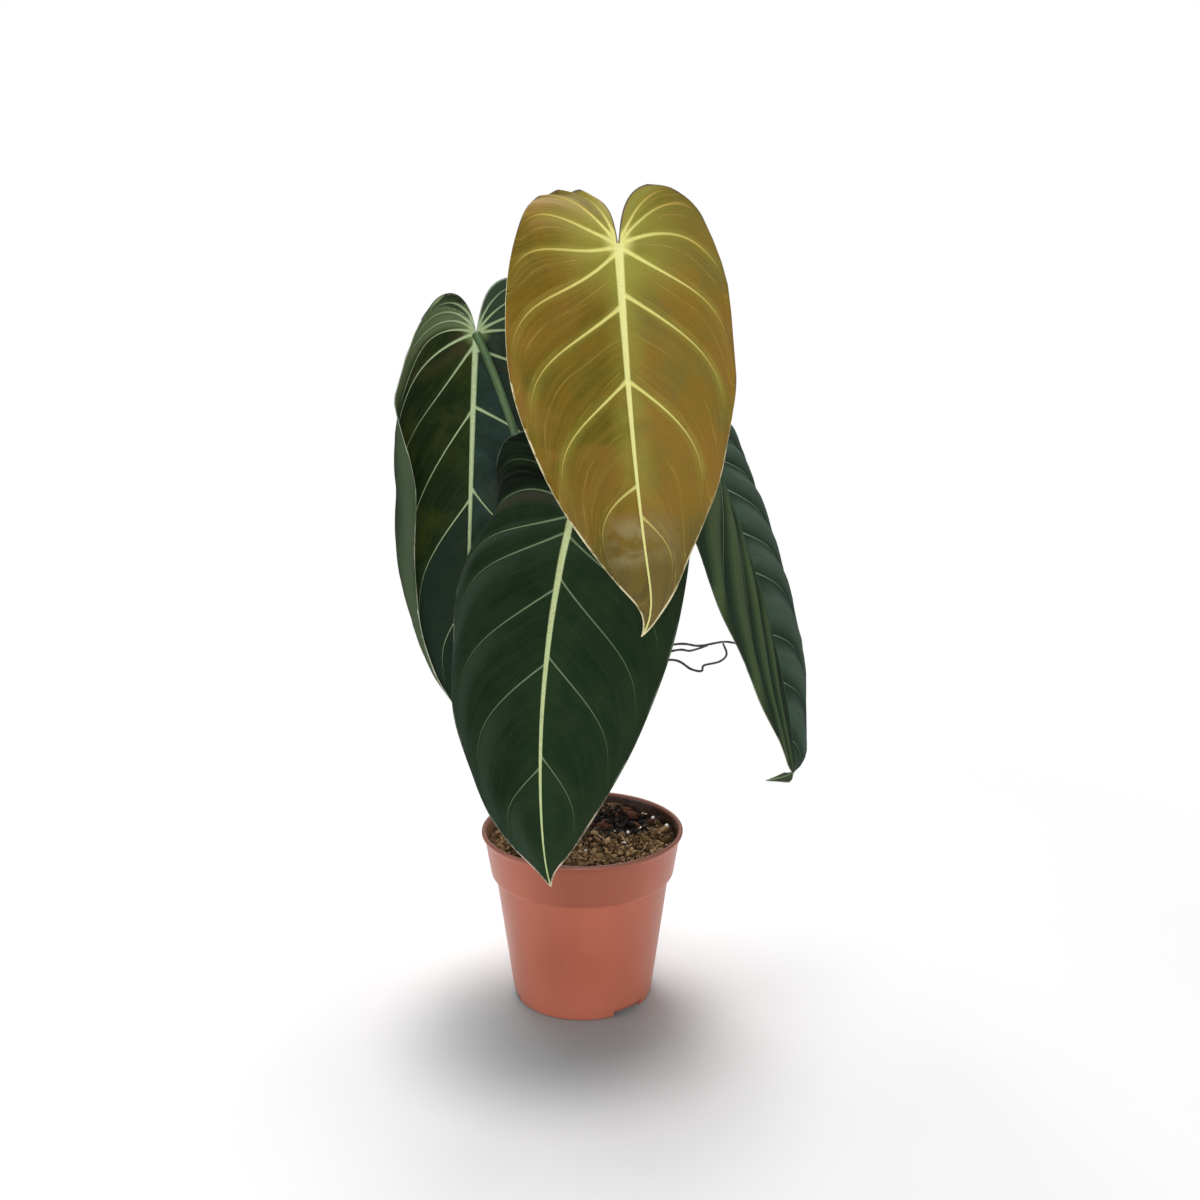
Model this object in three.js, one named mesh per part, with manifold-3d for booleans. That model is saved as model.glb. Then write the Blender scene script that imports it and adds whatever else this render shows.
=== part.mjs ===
// A young black gold philodendron in a 12 cm plastic nursery pot: four hanging, velvety, heart-based leaves
// on a short stem. The origin is the middle of the pot's underside, +Z is up and the viewer is at -Y.
// Lengths are in millimetres and angles in degrees.
import * as THREE from "three";
import { mergeVertices } from "three/addons/utils/BufferGeometryUtils.js";
import Module from "manifold-3d";

const wasm = await Module();
wasm.setup();

// Pot
const POT_HEIGHT = 106.5;
const LIP_RADIUS = 60.8;
const LIP_HEIGHT = 2.6;
const BAND_TOP_RADIUS = 58.9;
const BAND_BOTTOM_RADIUS = 55.4;
const BAND_HEIGHT = 27.9;
const WALL_TOP_RADIUS = 52.5;
const BASE_RADIUS = 42.2;
const WALL_THICKNESS = 1.5;
const FLOOR_RAISE = 4;
const FLOOR_THICKNESS = 1.5;
const PAD_RADIUS = 12;
const POT_SIDES = 48;
const NOTCH_COUNT = 3;
const NOTCH_WIDTH = 22;
const NOTCH_HEIGHT = 3.5;
const NOTCH_TURN = 42;
const DRAIN_COUNT = 6;
const DRAIN_RADIUS = 3.2;
const DRAIN_CIRCLE = 25;

// Soil
const SOIL_LEVEL = 99;
const SOIL_GAP = 0.3;
const SOIL_SIDES = 36;
const SOIL_RINGS = 9;
const HOLLOW_AT = [27, 29];
const HOLLOW_RADIUS = 16;
const HOLLOW_DEPTH = 7;
const BANK_FROM = 22;
const BANK_RUN = 28;
const BANK_RISE = 3;

// Stem
const STEM_AT = [-2, 5];
const STEM_BOTTOM = 74;
const STEM_TOP = 272;
const STEM_BASE_RADIUS = 7;
const STEM_TOP_RADIUS = 5.6;
const NODE_SWELL = 1;
const STUB_LENGTH = 16;
const JOINT_GAP = 0.3;

// Leaf stalks: the height of the stem node, the directions in which the stalk leaves the stem and arrives
// at its blade, its radius, and how far it keeps the direction of each end.
const STALKS = {
  gold: { node: 258, leave: [0.05, -0.35, 1], arrive: [0.08, -0.6, 0.8], radius: 2.7, start: 60, end: 45 },
  back: { node: 236, leave: [-0.3, 0.2, 1], arrive: [-0.45, 0.45, 0.8], radius: 2.5, start: 50, end: 45 },
  side: { node: 190, leave: [0.6, 0.06, 1], arrive: [0.7, -0.1, 0.7], radius: 2.4, start: 60, end: 40 },
  front: { node: 152, leave: [-0.02, -0.4, 1], arrive: [0, -0.7, 0.7], radius: 2.6, start: 60, end: 45 },
};

// Half of a flat blade's outline from the top of its lobe to its tip, in shares of its length and half width.
const OUTLINE = [
  [-0.158, 0.27],
  [-0.15, 0.5],
  [-0.095, 0.77],
  [0.02, 0.93],
  [0.19, 1],
  [0.38, 0.965],
  [0.57, 0.8],
  [0.73, 0.545],
  [0.86, 0.275],
  [0.94, 0.085],
  [1, 0],
];
const BLADE_THICKNESS = 0.8;
const KEEL_DEPTH = 1.6;
const FAN_END = 0.46;
const ROLL_START = 0.11;
const ROLL_SPAN = 0.25;
const STEPS_ALONG = 36;
const ACROSS = [0, 0.05, 0.22, 0.42, 0.6, 0.74, 0.87, 1];

// Each blade hangs from its junction with the stalk. heading is the compass side its upper face turns to,
// 0 being the viewer and 90 the right; droop is how far the midrib starts below level. arch bends the midrib
// towards the underside and sway turns it in the blade's plane, each as [evenly, more towards the tip], and
// tipHook and tipSway do so over the stretch hookSpan from hookFrom on, where tipTwist turns the blade about it.
// The two halves are right and left as seen on the upper face with the tip down. fold and curl raise or
// drop a half along its width, slim and narrow trim its outline at the tip and at the lobe, open parts the
// lobe from its neighbour, lift bends the lobe or lobeFold its slope, and roll turns the margin under from
// the share rollFrom of the width on. tuck does so only near the junction.
const BLADES = {
  gold: {
    length: 204,
    halfWidth: 62,
    junction: [20, -62, 448.3],
    heading: 6.4,
    droop: 61,
    turn: 0,
    arch: [20, -0.5],
    sway: [3, 6],
    tipSway: -47,
    tipHook: 0,
    hookFrom: 0.84,
    hookSpan: 0.16,
    ripple: 0.8,
    right: { fold: -1.5, curl: -26.5, lift: -16, slim: -0.06 },
    left: { fold: 10.7, curl: -5.5, lift: 31, slim: -0.06, narrow: 0.09, lobeFold: 1.5 },
  },
  front: {
    length: 229,
    halfWidth: 67.4,
    junction: [-1.3, -54, 317.8],
    heading: -17,
    droop: 43,
    turn: 4,
    arch: [52.6, 24.7],
    sway: [-2, -4.7],
    tipSway: 5,
    tipHook: 0,
    hookFrom: 0.84,
    hookSpan: 0.16,
    ripple: 0.8,
    right: { fold: 1.1, curl: -26, lift: 0, slim: -0.16 },
    left: { fold: 7.9, curl: -46, lift: -75, slim: 0.14, narrow: -0.11, tuck: -68 },
  },
  back: {
    length: 252.5,
    halfWidth: 73.2,
    junction: [-62.8, 48, 398.8],
    heading: 194,
    droop: 68.5,
    turn: 5.7,
    arch: [40, 1],
    sway: [-1, 4],
    tipSway: 0,
    tipHook: 0,
    hookFrom: 0.84,
    hookSpan: 0.16,
    ripple: 0.8,
    right: {
      fold: 1.5,
      curl: -82,
      lift: 37,
      slim: 0.46,
      narrow: 0.08,
      open: 0.31,
      lobeFold: -16,
      roll: -125,
      rollFrom: 0.73,
    },
    left: { fold: -7.5, curl: -20, lift: 14.6 },
  },
  side: {
    length: 221.6,
    halfWidth: 60.8,
    junction: [72.2, 10, 340],
    heading: 64.5,
    droop: 64.5,
    turn: -8,
    arch: [12.4, 8.6],
    sway: [1.4, 0.7],
    tipSway: -26,
    tipHook: 87,
    tipTwist: -38,
    hookFrom: 0.878,
    hookSpan: 0.065,
    ripple: 0.8,
    right: { fold: 16.4, curl: -29, lift: 0, slim: 0.15 },
    left: { fold: -7, curl: -9, lift: 0, slim: -0.085 },
  },
};

// Aerial roots: points of each strand's path, the strands being fused where they cross.
const ROOT_RADIUS = 0.7;
const ROOT_NODE = 214;
const ROOT_PATHS = [
  [[2, 3, 212.5], [28, -4, 216], [56, 0, 220.6], [69, 0, 219.6], [84, 0, 222], [94.2, 1, 219.8]],
  [[2, 2, 212], [28, -5, 211], [55, 0, 216.8], [64, 0, 216.6], [74, 0, 219.8]],
  [[2, 4, 212], [28, -2, 207], [53, 0, 211], [64.5, 0, 205.3], [70.6, 0, 204.2], [72.1, 0, 207.6],
    [81, 0, 209.9], [85.2, 0, 214.3], [83, 0, 221]],
];

const radians = THREE.MathUtils.degToRad;
const clamp = THREE.MathUtils.clamp;
const vector = (p) => new THREE.Vector3(...p);

function solidOf(geometry) {
  const bare = geometry.clone();
  bare.deleteAttribute("normal");
  bare.deleteAttribute("uv");
  const merged = mergeVertices(bare, 1e-4);
  return new wasm.Manifold(
    new wasm.Mesh({
      numProp: 3,
      vertProperties: merged.attributes.position.array,
      triVerts: new Uint32Array(merged.index.array),
    }),
  );
}

function geometryOf(solid) {
  const mesh = solid.getMesh();
  const positions = new Float32Array(mesh.numVert * 3);
  for (let i = 0; i < mesh.numVert; i++) {
    positions.set(mesh.vertProperties.subarray(i * mesh.numProp, i * mesh.numProp + 3), i * 3);
  }
  const geometry = new THREE.BufferGeometry();
  geometry.setAttribute("position", new THREE.BufferAttribute(positions, 3));
  geometry.setIndex(new THREE.BufferAttribute(new Uint32Array(mesh.triVerts), 1));
  geometry.computeVertexNormals();
  return geometry;
}

// A lathed solid about Z from points [radius, height] that start and end on the axis, running outwards
// along the bottom first.
function turned(profile, sides) {
  const points = profile.map(([r, z]) => new THREE.Vector2(r, z));
  const geometry = new THREE.LatheGeometry(points, sides);
  geometry.rotateX(Math.PI / 2);
  return geometry;
}

// A rod of round section along a curve.
function rod(curve, radius, sides, steps) {
  const section = new THREE.Shape();
  for (let i = 0; i < sides; i++) {
    const angle = (2 * Math.PI * i) / sides;
    const [x, y] = [radius * Math.cos(angle), radius * Math.sin(angle)];
    if (i === 0) section.moveTo(x, y);
    else section.lineTo(x, y);
  }
  section.closePath();
  return new THREE.ExtrudeGeometry(section, { extrudePath: curve, steps, bevelEnabled: false });
}

// The pot's inside follows its outside, step included.
function innerRadius(z) {
  const step = POT_HEIGHT - BAND_HEIGHT;
  const outer =
    z > step
      ? THREE.MathUtils.mapLinear(z, step, POT_HEIGHT - 4, BAND_BOTTOM_RADIUS, BAND_TOP_RADIUS)
      : THREE.MathUtils.mapLinear(z, 0, step, BASE_RADIUS, WALL_TOP_RADIUS);
  return outer - WALL_THICKNESS;
}

function pot() {
  const step = POT_HEIGHT - BAND_HEIGHT;
  const top = POT_HEIGHT;
  const floorTop = FLOOR_RAISE + FLOOR_THICKNESS;
  const profile = [
    [0, 0],
    [PAD_RADIUS, 0],
    [PAD_RADIUS + 1.2, FLOOR_RAISE],
    [BASE_RADIUS - 4.6, FLOOR_RAISE],
    [BASE_RADIUS - 3.4, 0],
    [BASE_RADIUS - 1.4, 0],
    [BASE_RADIUS - 0.4, 0.5],
    [BASE_RADIUS + 0.1, 1.6],
    [WALL_TOP_RADIUS - 0.1, step - 0.9],
    [WALL_TOP_RADIUS + 0.4, step - 0.1],
    [BAND_BOTTOM_RADIUS - 0.6, step + 0.2],
    [BAND_BOTTOM_RADIUS, step + 0.9],
    [BAND_TOP_RADIUS, top - 4],
    [BAND_TOP_RADIUS + 0.5, top - LIP_HEIGHT - 0.4],
    [LIP_RADIUS - 0.3, top - LIP_HEIGHT],
    [LIP_RADIUS, top - LIP_HEIGHT + 0.6],
    [LIP_RADIUS, top - 0.7],
    [LIP_RADIUS - 0.6, top],
    [LIP_RADIUS - 2, top],
    [innerRadius(top - 1.6), top - 1.6],
    [innerRadius(step + 2.2), step + 2.2],
    [innerRadius(step - 0.6), step - 0.6],
    [innerRadius(floorTop + 1.2), floorTop + 1.2],
    [innerRadius(floorTop) - 1.2, floorTop],
    [0, floorTop],
  ];
  let solid = solidOf(turned(profile, POT_SIDES));
  for (let i = 0; i < NOTCH_COUNT; i++) {
    const turn = radians(NOTCH_TURN + (360 * i) / NOTCH_COUNT);
    const notch = new THREE.BoxGeometry(NOTCH_WIDTH, 12, NOTCH_HEIGHT * 2);
    notch.translate(0, -BASE_RADIUS + 1, 0);
    notch.rotateZ(turn);
    solid = solid.subtract(solidOf(notch));
  }
  for (let i = 0; i < DRAIN_COUNT; i++) {
    const turn = radians((360 * i) / DRAIN_COUNT);
    const hole = new THREE.CylinderGeometry(DRAIN_RADIUS, DRAIN_RADIUS, 4, 10);
    hole.rotateX(Math.PI / 2);
    hole.translate(DRAIN_CIRCLE * Math.cos(turn), DRAIN_CIRCLE * Math.sin(turn), FLOOR_RAISE + 0.8);
    solid = solid.subtract(solidOf(hole));
  }
  return geometryOf(solid);
}

// Height of the soil: gentle lumps, the wet hollow to the right of the stem and a bank towards the back wall.
function soilHeight(x, y) {
  const lumps = 0.7 * Math.sin(0.17 * x + 1.1) * Math.cos(0.21 * y) + 0.5 * Math.sin(0.31 * x - 0.27 * y + 2);
  const away = Math.hypot(x - HOLLOW_AT[0], y - HOLLOW_AT[1]) / HOLLOW_RADIUS;
  const bank = BANK_RISE * clamp((y - BANK_FROM) / BANK_RUN, 0, 1) ** 2;
  return SOIL_LEVEL + lumps + bank - HOLLOW_DEPTH * Math.exp(-away * away);
}

function soil() {
  const step = POT_HEIGHT - BAND_HEIGHT;
  const floorTop = FLOOR_RAISE + FLOOR_THICKNESS + SOIL_GAP;
  const edge = innerRadius(SOIL_LEVEL - 3) - SOIL_GAP;
  const profile = [
    [0, floorTop],
    [innerRadius(floorTop) - 1.6 - SOIL_GAP, floorTop],
    [innerRadius(floorTop + 1.2) - SOIL_GAP, floorTop + 1.4],
    [innerRadius(step - 0.6) - SOIL_GAP, step - 0.1],
    [innerRadius(step + 2.2) - SOIL_GAP, step + 3],
    [edge, SOIL_LEVEL - 3],
  ];
  for (let ring = SOIL_RINGS; ring > 0; ring--) {
    profile.push([(edge * ring) / (SOIL_RINGS + 0.15), SOIL_LEVEL]);
  }
  profile.push([0, SOIL_LEVEL]);
  const geometry = turned(profile, SOIL_SIDES);
  const position = geometry.attributes.position;
  for (let i = 0; i < position.count; i++) {
    if (position.getZ(i) > SOIL_LEVEL - 1) {
      position.setZ(i, soilHeight(position.getX(i), position.getY(i)));
    }
  }
  const hole = new THREE.CylinderGeometry(
    STEM_BASE_RADIUS + SOIL_GAP,
    STEM_BASE_RADIUS + SOIL_GAP,
    60,
    16,
  );
  hole.rotateX(Math.PI / 2);
  hole.translate(...STEM_AT, STEM_BOTTOM - SOIL_GAP + 30);
  return geometryOf(solidOf(geometry).subtract(solidOf(hole)));
}

// Where a leaf stalk's stub starts: inside the stem, towards the side on which the stalk leaves it.
function stubStart(stalk) {
  const outwards = new THREE.Vector3(stalk.leave[0], stalk.leave[1], 0).setLength(STEM_TOP_RADIUS * 0.85);
  return outwards.add(new THREE.Vector3(...STEM_AT, stalk.node - 6));
}

function stemRadius(z) {
  const share = clamp((z - SOIL_LEVEL) / (STEM_TOP - SOIL_LEVEL), 0, 1);
  return THREE.MathUtils.lerp(STEM_BASE_RADIUS - 0.6, STEM_TOP_RADIUS, share);
}

// The stem with its swollen nodes, a short stub for each leaf stalk and the closed sheath of the next leaf.
function stem() {
  const heights = [STEM_BOTTOM, 92, 112, 118, 124];
  const swells = [0, 0, 0, NODE_SWELL, 0];
  for (const node of Object.values(STALKS).map((stalk) => stalk.node).sort((a, b) => a - b)) {
    heights.push(node - 9, node - 3, node + 3);
    swells.push(0, NODE_SWELL, 0);
  }
  heights.push(STEM_TOP - 4);
  swells.push(0);
  const profile = [[0, STEM_BOTTOM]];
  heights.forEach((z, i) => profile.push([stemRadius(z) + swells[i], z]));
  profile.push([STEM_TOP_RADIUS * 0.55, STEM_TOP], [0, STEM_TOP + 0.8]);
  const column = turned(profile, 14);
  column.translate(...STEM_AT, 0);
  let solid = solidOf(column);
  for (const stalk of Object.values(STALKS)) {
    const direction = vector(stalk.leave).normalize();
    const from = stubStart(stalk);
    const to = from.clone().addScaledVector(direction, STUB_LENGTH);
    const stub = rod(new THREE.LineCurve3(from, to), stalk.radius * 1.25, 10, 1);
    solid = solid.add(solidOf(stub));
  }
  const sheath = turned([[0, 256], [3.1, 256], [3.3, 272], [2.4, 288], [1.1, 302], [0, 308]], 10);
  sheath.translate(STEM_AT[0] + 2.6, STEM_AT[1] + 2.4, 0);
  return geometryOf(solid.add(solidOf(sheath)));
}

// The outline of one half blade as points {a, b, s}: along the midrib, away from it, and the share of the
// margin's length from the top of the lobe.
function marginOf(blade, half) {
  const curve = new THREE.SplineCurve(OUTLINE.map(([x, y]) => new THREE.Vector2(x, y)));
  const points = [];
  let length = 0;
  for (let i = 0; i <= 400; i++) {
    const p = curve.getPoint(i / 400);
    const tip = 1 + (half.slim ?? 0) * clamp(p.x, 0, 1) ** 2;
    const lobe = 1 - (half.narrow ?? 0) * clamp((0.35 - p.x) / 0.5, 0, 1);
    const open = (half.open ?? 0) * clamp(1 - i / 80, 0, 1) ** 2;
    const a = p.x * blade.length;
    const b = (p.y * tip * lobe + open) * blade.halfWidth;
    if (i > 0) length += Math.hypot(a - points[i - 1].a, b - points[i - 1].b);
    points.push({ a, b, s: length });
  }
  points.forEach((p) => (p.s /= length));
  return points;
}

function lookUp(points, key, value, wanted) {
  let i = 1;
  while (i < points.length - 1 && points[i][key] < value) i++;
  const [p, q] = [points[i - 1], points[i]];
  const share = q[key] > p[key] ? clamp((value - p[key]) / (q[key] - p[key]), 0, 1) : 0;
  return p[wanted] + (q[wanted] - p[wanted]) * share;
}

// A point of the flat half blade. along runs from the lobe to the tip on the margin, and across from the
// midrib to the margin along the rib, which leaves the midrib at a wide angle and meets the margin at a
// small one. Up to FAN_END every rib starts at the junction.
function flatPoint(blade, margin, along, across) {
  const end = [lookUp(margin, "s", along, "a"), lookUp(margin, "s", along, "b")];
  const [before, after] = [Math.max(along - 1e-3, 0), Math.min(along + 1e-3, 1)];
  const run = [
    lookUp(margin, "s", after, "a") - lookUp(margin, "s", before, "a"),
    lookUp(margin, "s", after, "b") - lookUp(margin, "s", before, "b"),
  ];
  const size = Math.hypot(...run);
  const beyond = clamp((along - FAN_END) / (1 - FAN_END), 0, 1);
  const start = blade.length * beyond ** 1.6;
  const reach = Math.hypot(end[0] - start, end[1]);
  const leave = radians(along < FAN_END ? 172 - 104 * (along / FAN_END) ** 0.75 : 68 - 12 * beyond);
  const arrive = Math.atan2(run[1] / size, run[0] / size) + radians(20);
  const first = [start + 0.36 * reach * Math.cos(leave), 0.36 * reach * Math.sin(leave)];
  const second = [end[0] - 0.4 * reach * Math.cos(arrive), end[1] - 0.4 * reach * Math.sin(arrive)];
  const [w, v] = [across, 1 - across];
  return [0, 1].map(
    (k) => v ** 3 * [start, 0][k] + 3 * v * v * w * first[k] + 3 * v * w * w * second[k] + w ** 3 * end[k],
  );
}

// Stations along the midrib, each with its point and the blade's axes there: along, across and up.
function midribOf(blade) {
  const [heading, droop, turn] = [blade.heading, blade.droop, blade.turn].map(radians);
  const out = new THREE.Vector3(Math.sin(heading), -Math.cos(heading), 0);
  const along0 = out.clone().multiplyScalar(Math.cos(droop)).add(new THREE.Vector3(0, 0, -Math.sin(droop)));
  const up0 = out.clone().multiplyScalar(Math.sin(droop)).add(new THREE.Vector3(0, 0, Math.cos(droop)));
  up0.applyAxisAngle(along0, turn);
  const across0 = new THREE.Vector3().crossVectors(up0, along0);
  const stations = [];
  for (let i = 0; i <= 120; i++) {
    const x = i / 120;
    const hook = clamp((x - blade.hookFrom) / blade.hookSpan, 0, 1) ** 2;
    const bend = radians(blade.arch[0] * x + blade.arch[1] * x * x + blade.tipHook * hook);
    const sway = radians(blade.sway[0] * x + blade.sway[1] * x * x + blade.tipSway * hook);
    const ahead = along0.clone().multiplyScalar(Math.cos(bend)).addScaledVector(up0, -Math.sin(bend));
    const up = along0.clone().multiplyScalar(Math.sin(bend)).addScaledVector(up0, Math.cos(bend));
    const along = ahead.multiplyScalar(Math.cos(sway)).addScaledVector(across0, Math.sin(sway));
    const across = new THREE.Vector3().crossVectors(up, along);
    const twist = radians((blade.tipTwist ?? 0) * hook);
    across.applyAxisAngle(along, twist);
    up.applyAxisAngle(along, twist);
    const point = vector(blade.junction);
    if (i > 0) {
      const last = stations[i - 1];
      point.copy(last.point).addScaledVector(last.along.clone().add(along), blade.length / 240);
    }
    stations.push({ point, along, across, up });
  }
  return stations;
}

// The same axes for the part of a lobe above the junction, where the blade bends by its lift.
function lobeStation(blade, half, first, a) {
  const steps = 6;
  const station = {
    point: first.point.clone(),
    along: first.along.clone(),
    across: first.across,
    up: first.up.clone(),
  };
  for (let i = 0; i < steps; i++) {
    const x = ((i + 0.5) / steps) * (a / blade.length);
    const bend = radians((half.lift ?? 0) * clamp(x / 0.16, -2, 0));
    station.along.copy(first.along).multiplyScalar(Math.cos(bend)).addScaledVector(first.up, -Math.sin(bend));
    station.up.copy(first.along).multiplyScalar(Math.sin(bend)).addScaledVector(first.up, Math.cos(bend));
    station.point.addScaledVector(station.along, a / steps);
  }
  return station;
}

// Where a point of the flat half blade lies in space, and the blade's upward normal there.
function bladePoint(blade, half, side, margin, stations, along, across) {
  const [a, b] = flatPoint(blade, margin, along, across);
  const x = a / blade.length;
  let station;
  if (a < 0) {
    station = lobeStation(blade, half, stations[0], a);
  } else {
    const place = clamp(x, 0, 1) * 120;
    const i = Math.min(Math.floor(place), 119);
    const mix = (key) => stations[i][key].clone().lerp(stations[i + 1][key], place - i);
    station = { point: mix("point"), along: mix("along"), across: mix("across"), up: mix("up") };
  }
  const share = clamp(b / Math.max(lookUp(margin, "a", a, "b"), 1e-3), 0, 1.05);
  const rollFrom = half.rollFrom ?? 0.7;
  const rollHere =
    (half.roll ?? 0) * clamp((x - ROLL_START) / ROLL_SPAN, 0, 1) +
    (half.tuck ?? 0) * Math.exp(-((x / 0.06) ** 2));
  const slope = (part) =>
    radians(
      half.fold +
        (half.lobeFold ?? 0) * clamp((0.22 - x) / 0.37, 0, 1) +
        (half.curl * b * part) / blade.halfWidth +
        (rollHere * Math.max(share * part - rollFrom, 0)) / (1 - rollFrom),
    );
  let [sideways, upwards] = [0, 0];
  for (let i = 0; i < 12; i++) {
    const angle = slope((i + 0.5) / 12);
    sideways += (Math.cos(angle) * b) / 12;
    upwards += (Math.sin(angle) * b) / 12;
  }
  const point = station.point
    .clone()
    .addScaledVector(station.across, side * sideways)
    .addScaledVector(station.up, upwards);
  const angle = b > 0.01 ? slope(1) : 0;
  const normal = station.up
    .clone()
    .multiplyScalar(Math.cos(angle))
    .addScaledVector(station.across, -side * Math.sin(angle))
    .normalize();
  const wave = Math.sin(2 * Math.PI * (4.5 * along + (side > 0 ? 0.1 : 0.45)));
  const fade = Math.min(1, along * 8, (1 - along) * 6);
  point.addScaledVector(normal, blade.ripple * wave * fade * across ** 3);
  return { point, normal };
}

// A blade as one closed skin: both faces share one division into triangles, and a strip joins their rims.
// The midrib stands out below as a keel.
function bladeGeometry(blade) {
  const stations = midribOf(blade);
  const upper = [];
  const lower = [];
  const add = (place, keel) => {
    upper.push(place.point);
    lower.push(place.point.clone().addScaledVector(place.normal, -BLADE_THICKNESS - keel));
    return upper.length - 1;
  };
  const faces = [];
  const face = (p, q, r) => {
    if (p !== q && q !== r && r !== p) faces.push([p, q, r]);
  };
  const shared = new Map();
  for (const [half, side] of [[blade.right, 1], [blade.left, -1]]) {
    const margin = marginOf(blade, half);
    const grid = [];
    for (let i = 0; i <= STEPS_ALONG; i++) {
      const along = i / STEPS_ALONG;
      const onFan = along <= FAN_END;
      grid.push(
        ACROSS.map((across, j) => {
          const key = i === STEPS_ALONG ? "tip" : j === 0 ? (onFan ? "junction" : "rib" + i) : null;
          if (key && shared.has(key)) return shared.get(key);
          const keel = j === 0 ? KEEL_DEPTH * (1 - along) ** 0.5 * (onFan ? 0.6 : 1) : 0;
          const place = bladePoint(blade, half, side, margin, stations, onFan && j === 0 ? 0 : along, across);
          const index = add(place, keel);
          if (key) shared.set(key, index);
          return index;
        }),
      );
    }
    for (let i = 0; i < STEPS_ALONG; i++) {
      for (let j = 0; j < ACROSS.length - 1; j++) {
        const [p, q, r, s] = [grid[i][j], grid[i + 1][j], grid[i + 1][j + 1], grid[i][j + 1]];
        if (side > 0) {
          face(p, q, r);
          face(p, r, s);
        } else {
          face(p, r, q);
          face(p, s, r);
        }
      }
    }
  }
  const count = upper.length;
  const edges = new Set();
  faces.forEach(([p, q, r]) => [[p, q], [q, r], [r, p]].forEach((edge) => edges.add(edge.join())));
  const index = [];
  for (const [p, q, r] of faces) {
    index.push(p, q, r, p + count, r + count, q + count);
    for (const [from, to] of [[p, q], [q, r], [r, p]]) {
      if (!edges.has([to, from].join())) {
        index.push(to, from, from + count, to, from + count, to + count);
      }
    }
  }
  const geometry = new THREE.BufferGeometry();
  geometry.setFromPoints([...upper, ...lower]);
  geometry.setIndex(index);
  geometry.computeVertexNormals();
  return geometry;
}

// A leaf stalk from its stub on the stem to the underside of its blade at the junction.
function stalkGeometry(name) {
  const stalk = STALKS[name];
  const blade = BLADES[name];
  const first = midribOf(blade)[0];
  const leave = vector(stalk.leave).normalize();
  const start = stubStart(stalk).addScaledVector(leave, STUB_LENGTH + JOINT_GAP);
  const into = vector(stalk.arrive).normalize();
  const tilt = Math.sqrt(1 - into.dot(first.up) ** 2);
  const reach = BLADE_THICKNESS + KEEL_DEPTH * 0.6 + JOINT_GAP + stalk.radius * tilt;
  const end = first.point.clone().addScaledVector(first.up, -reach);
  const path = new THREE.CubicBezierCurve3(
    start,
    start.clone().addScaledVector(leave, stalk.start),
    end.clone().addScaledVector(into, -stalk.end),
    end,
  );
  return rod(path, stalk.radius, 8, 16);
}

// Three wiry aerial roots that leave one stem node behind the front leaf and meet again in front of the
// side leaf's underside.
function rootGeometry() {
  const band = turned(
    [[0, ROOT_NODE - 3], [8, ROOT_NODE - 3], [8, ROOT_NODE + 1], [0, ROOT_NODE + 1]],
    14,
  );
  band.translate(...STEM_AT, 0);
  const inside = stemRadius(ROOT_NODE) + 1.2 * JOINT_GAP;
  const bore = new THREE.CylinderGeometry(inside, inside, 20, 14);
  bore.rotateX(Math.PI / 2);
  bore.translate(...STEM_AT, ROOT_NODE);
  let solid = solidOf(band);
  for (const points of ROOT_PATHS) {
    const path = new THREE.CatmullRomCurve3(points.map(vector));
    solid = solid.add(solidOf(rod(path, ROOT_RADIUS, 6, 26)));
  }
  return geometryOf(solid.subtract(solidOf(bore)));
}

const group = new THREE.Group();

function place(name, geometry, color, roughness) {
  const mesh = new THREE.Mesh(geometry, new THREE.MeshStandardMaterial({ color, roughness, metalness: 0 }));
  mesh.name = name;
  group.add(mesh);
}

place("pot", pot(), 0xa35c4a, 0.5);
place("soil", soil(), 0x3a2c1e, 1);
place("stem", stem(), 0x5c6b38, 0.7);
place("aerial_roots", rootGeometry(), 0x3b3532, 0.8);
place("petiole_gold", stalkGeometry("gold"), 0x6b7a3c, 0.6);
place("petiole_back", stalkGeometry("back"), 0x5b7343, 0.6);
place("petiole_side", stalkGeometry("side"), 0x55693c, 0.6);
place("petiole_front", stalkGeometry("front"), 0x55693c, 0.6);
place("blade_gold", bladeGeometry(BLADES.gold), 0x8a6f2c, 0.6);
place("blade_back", bladeGeometry(BLADES.back), 0x28351c, 0.6);
place("blade_side", bladeGeometry(BLADES.side), 0x253427, 0.6);
place("blade_front", bladeGeometry(BLADES.front), 0x1f2f20, 0.6);

export default group;
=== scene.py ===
import bpy
import numpy as np
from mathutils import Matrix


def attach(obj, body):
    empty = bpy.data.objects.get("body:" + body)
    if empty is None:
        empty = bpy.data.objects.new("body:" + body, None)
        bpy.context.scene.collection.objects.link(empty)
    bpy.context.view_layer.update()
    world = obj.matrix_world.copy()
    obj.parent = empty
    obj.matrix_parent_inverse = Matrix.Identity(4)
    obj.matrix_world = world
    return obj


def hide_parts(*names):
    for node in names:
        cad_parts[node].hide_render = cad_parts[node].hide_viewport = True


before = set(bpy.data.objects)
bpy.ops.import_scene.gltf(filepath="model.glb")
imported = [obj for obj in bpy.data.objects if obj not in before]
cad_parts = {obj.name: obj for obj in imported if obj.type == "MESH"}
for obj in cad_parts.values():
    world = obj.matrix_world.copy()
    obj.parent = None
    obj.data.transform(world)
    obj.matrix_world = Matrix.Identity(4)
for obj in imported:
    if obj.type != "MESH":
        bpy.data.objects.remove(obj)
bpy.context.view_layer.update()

rng = np.random.default_rng(12)
scene = bpy.context.scene


# Meshes

# An object at the origin from points (n, 3) in millimetres and faces, arrays of indices.
def meshObject(name, points, faces):
    mesh = bpy.data.meshes.new(name)
    polygons = [row for block in faces for row in block.tolist()]
    mesh.from_pydata((np.asarray(points, float) * 0.001).tolist(), [], polygons)
    thing = bpy.data.objects.new(name, mesh)
    scene.collection.objects.link(thing)
    return thing


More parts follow.
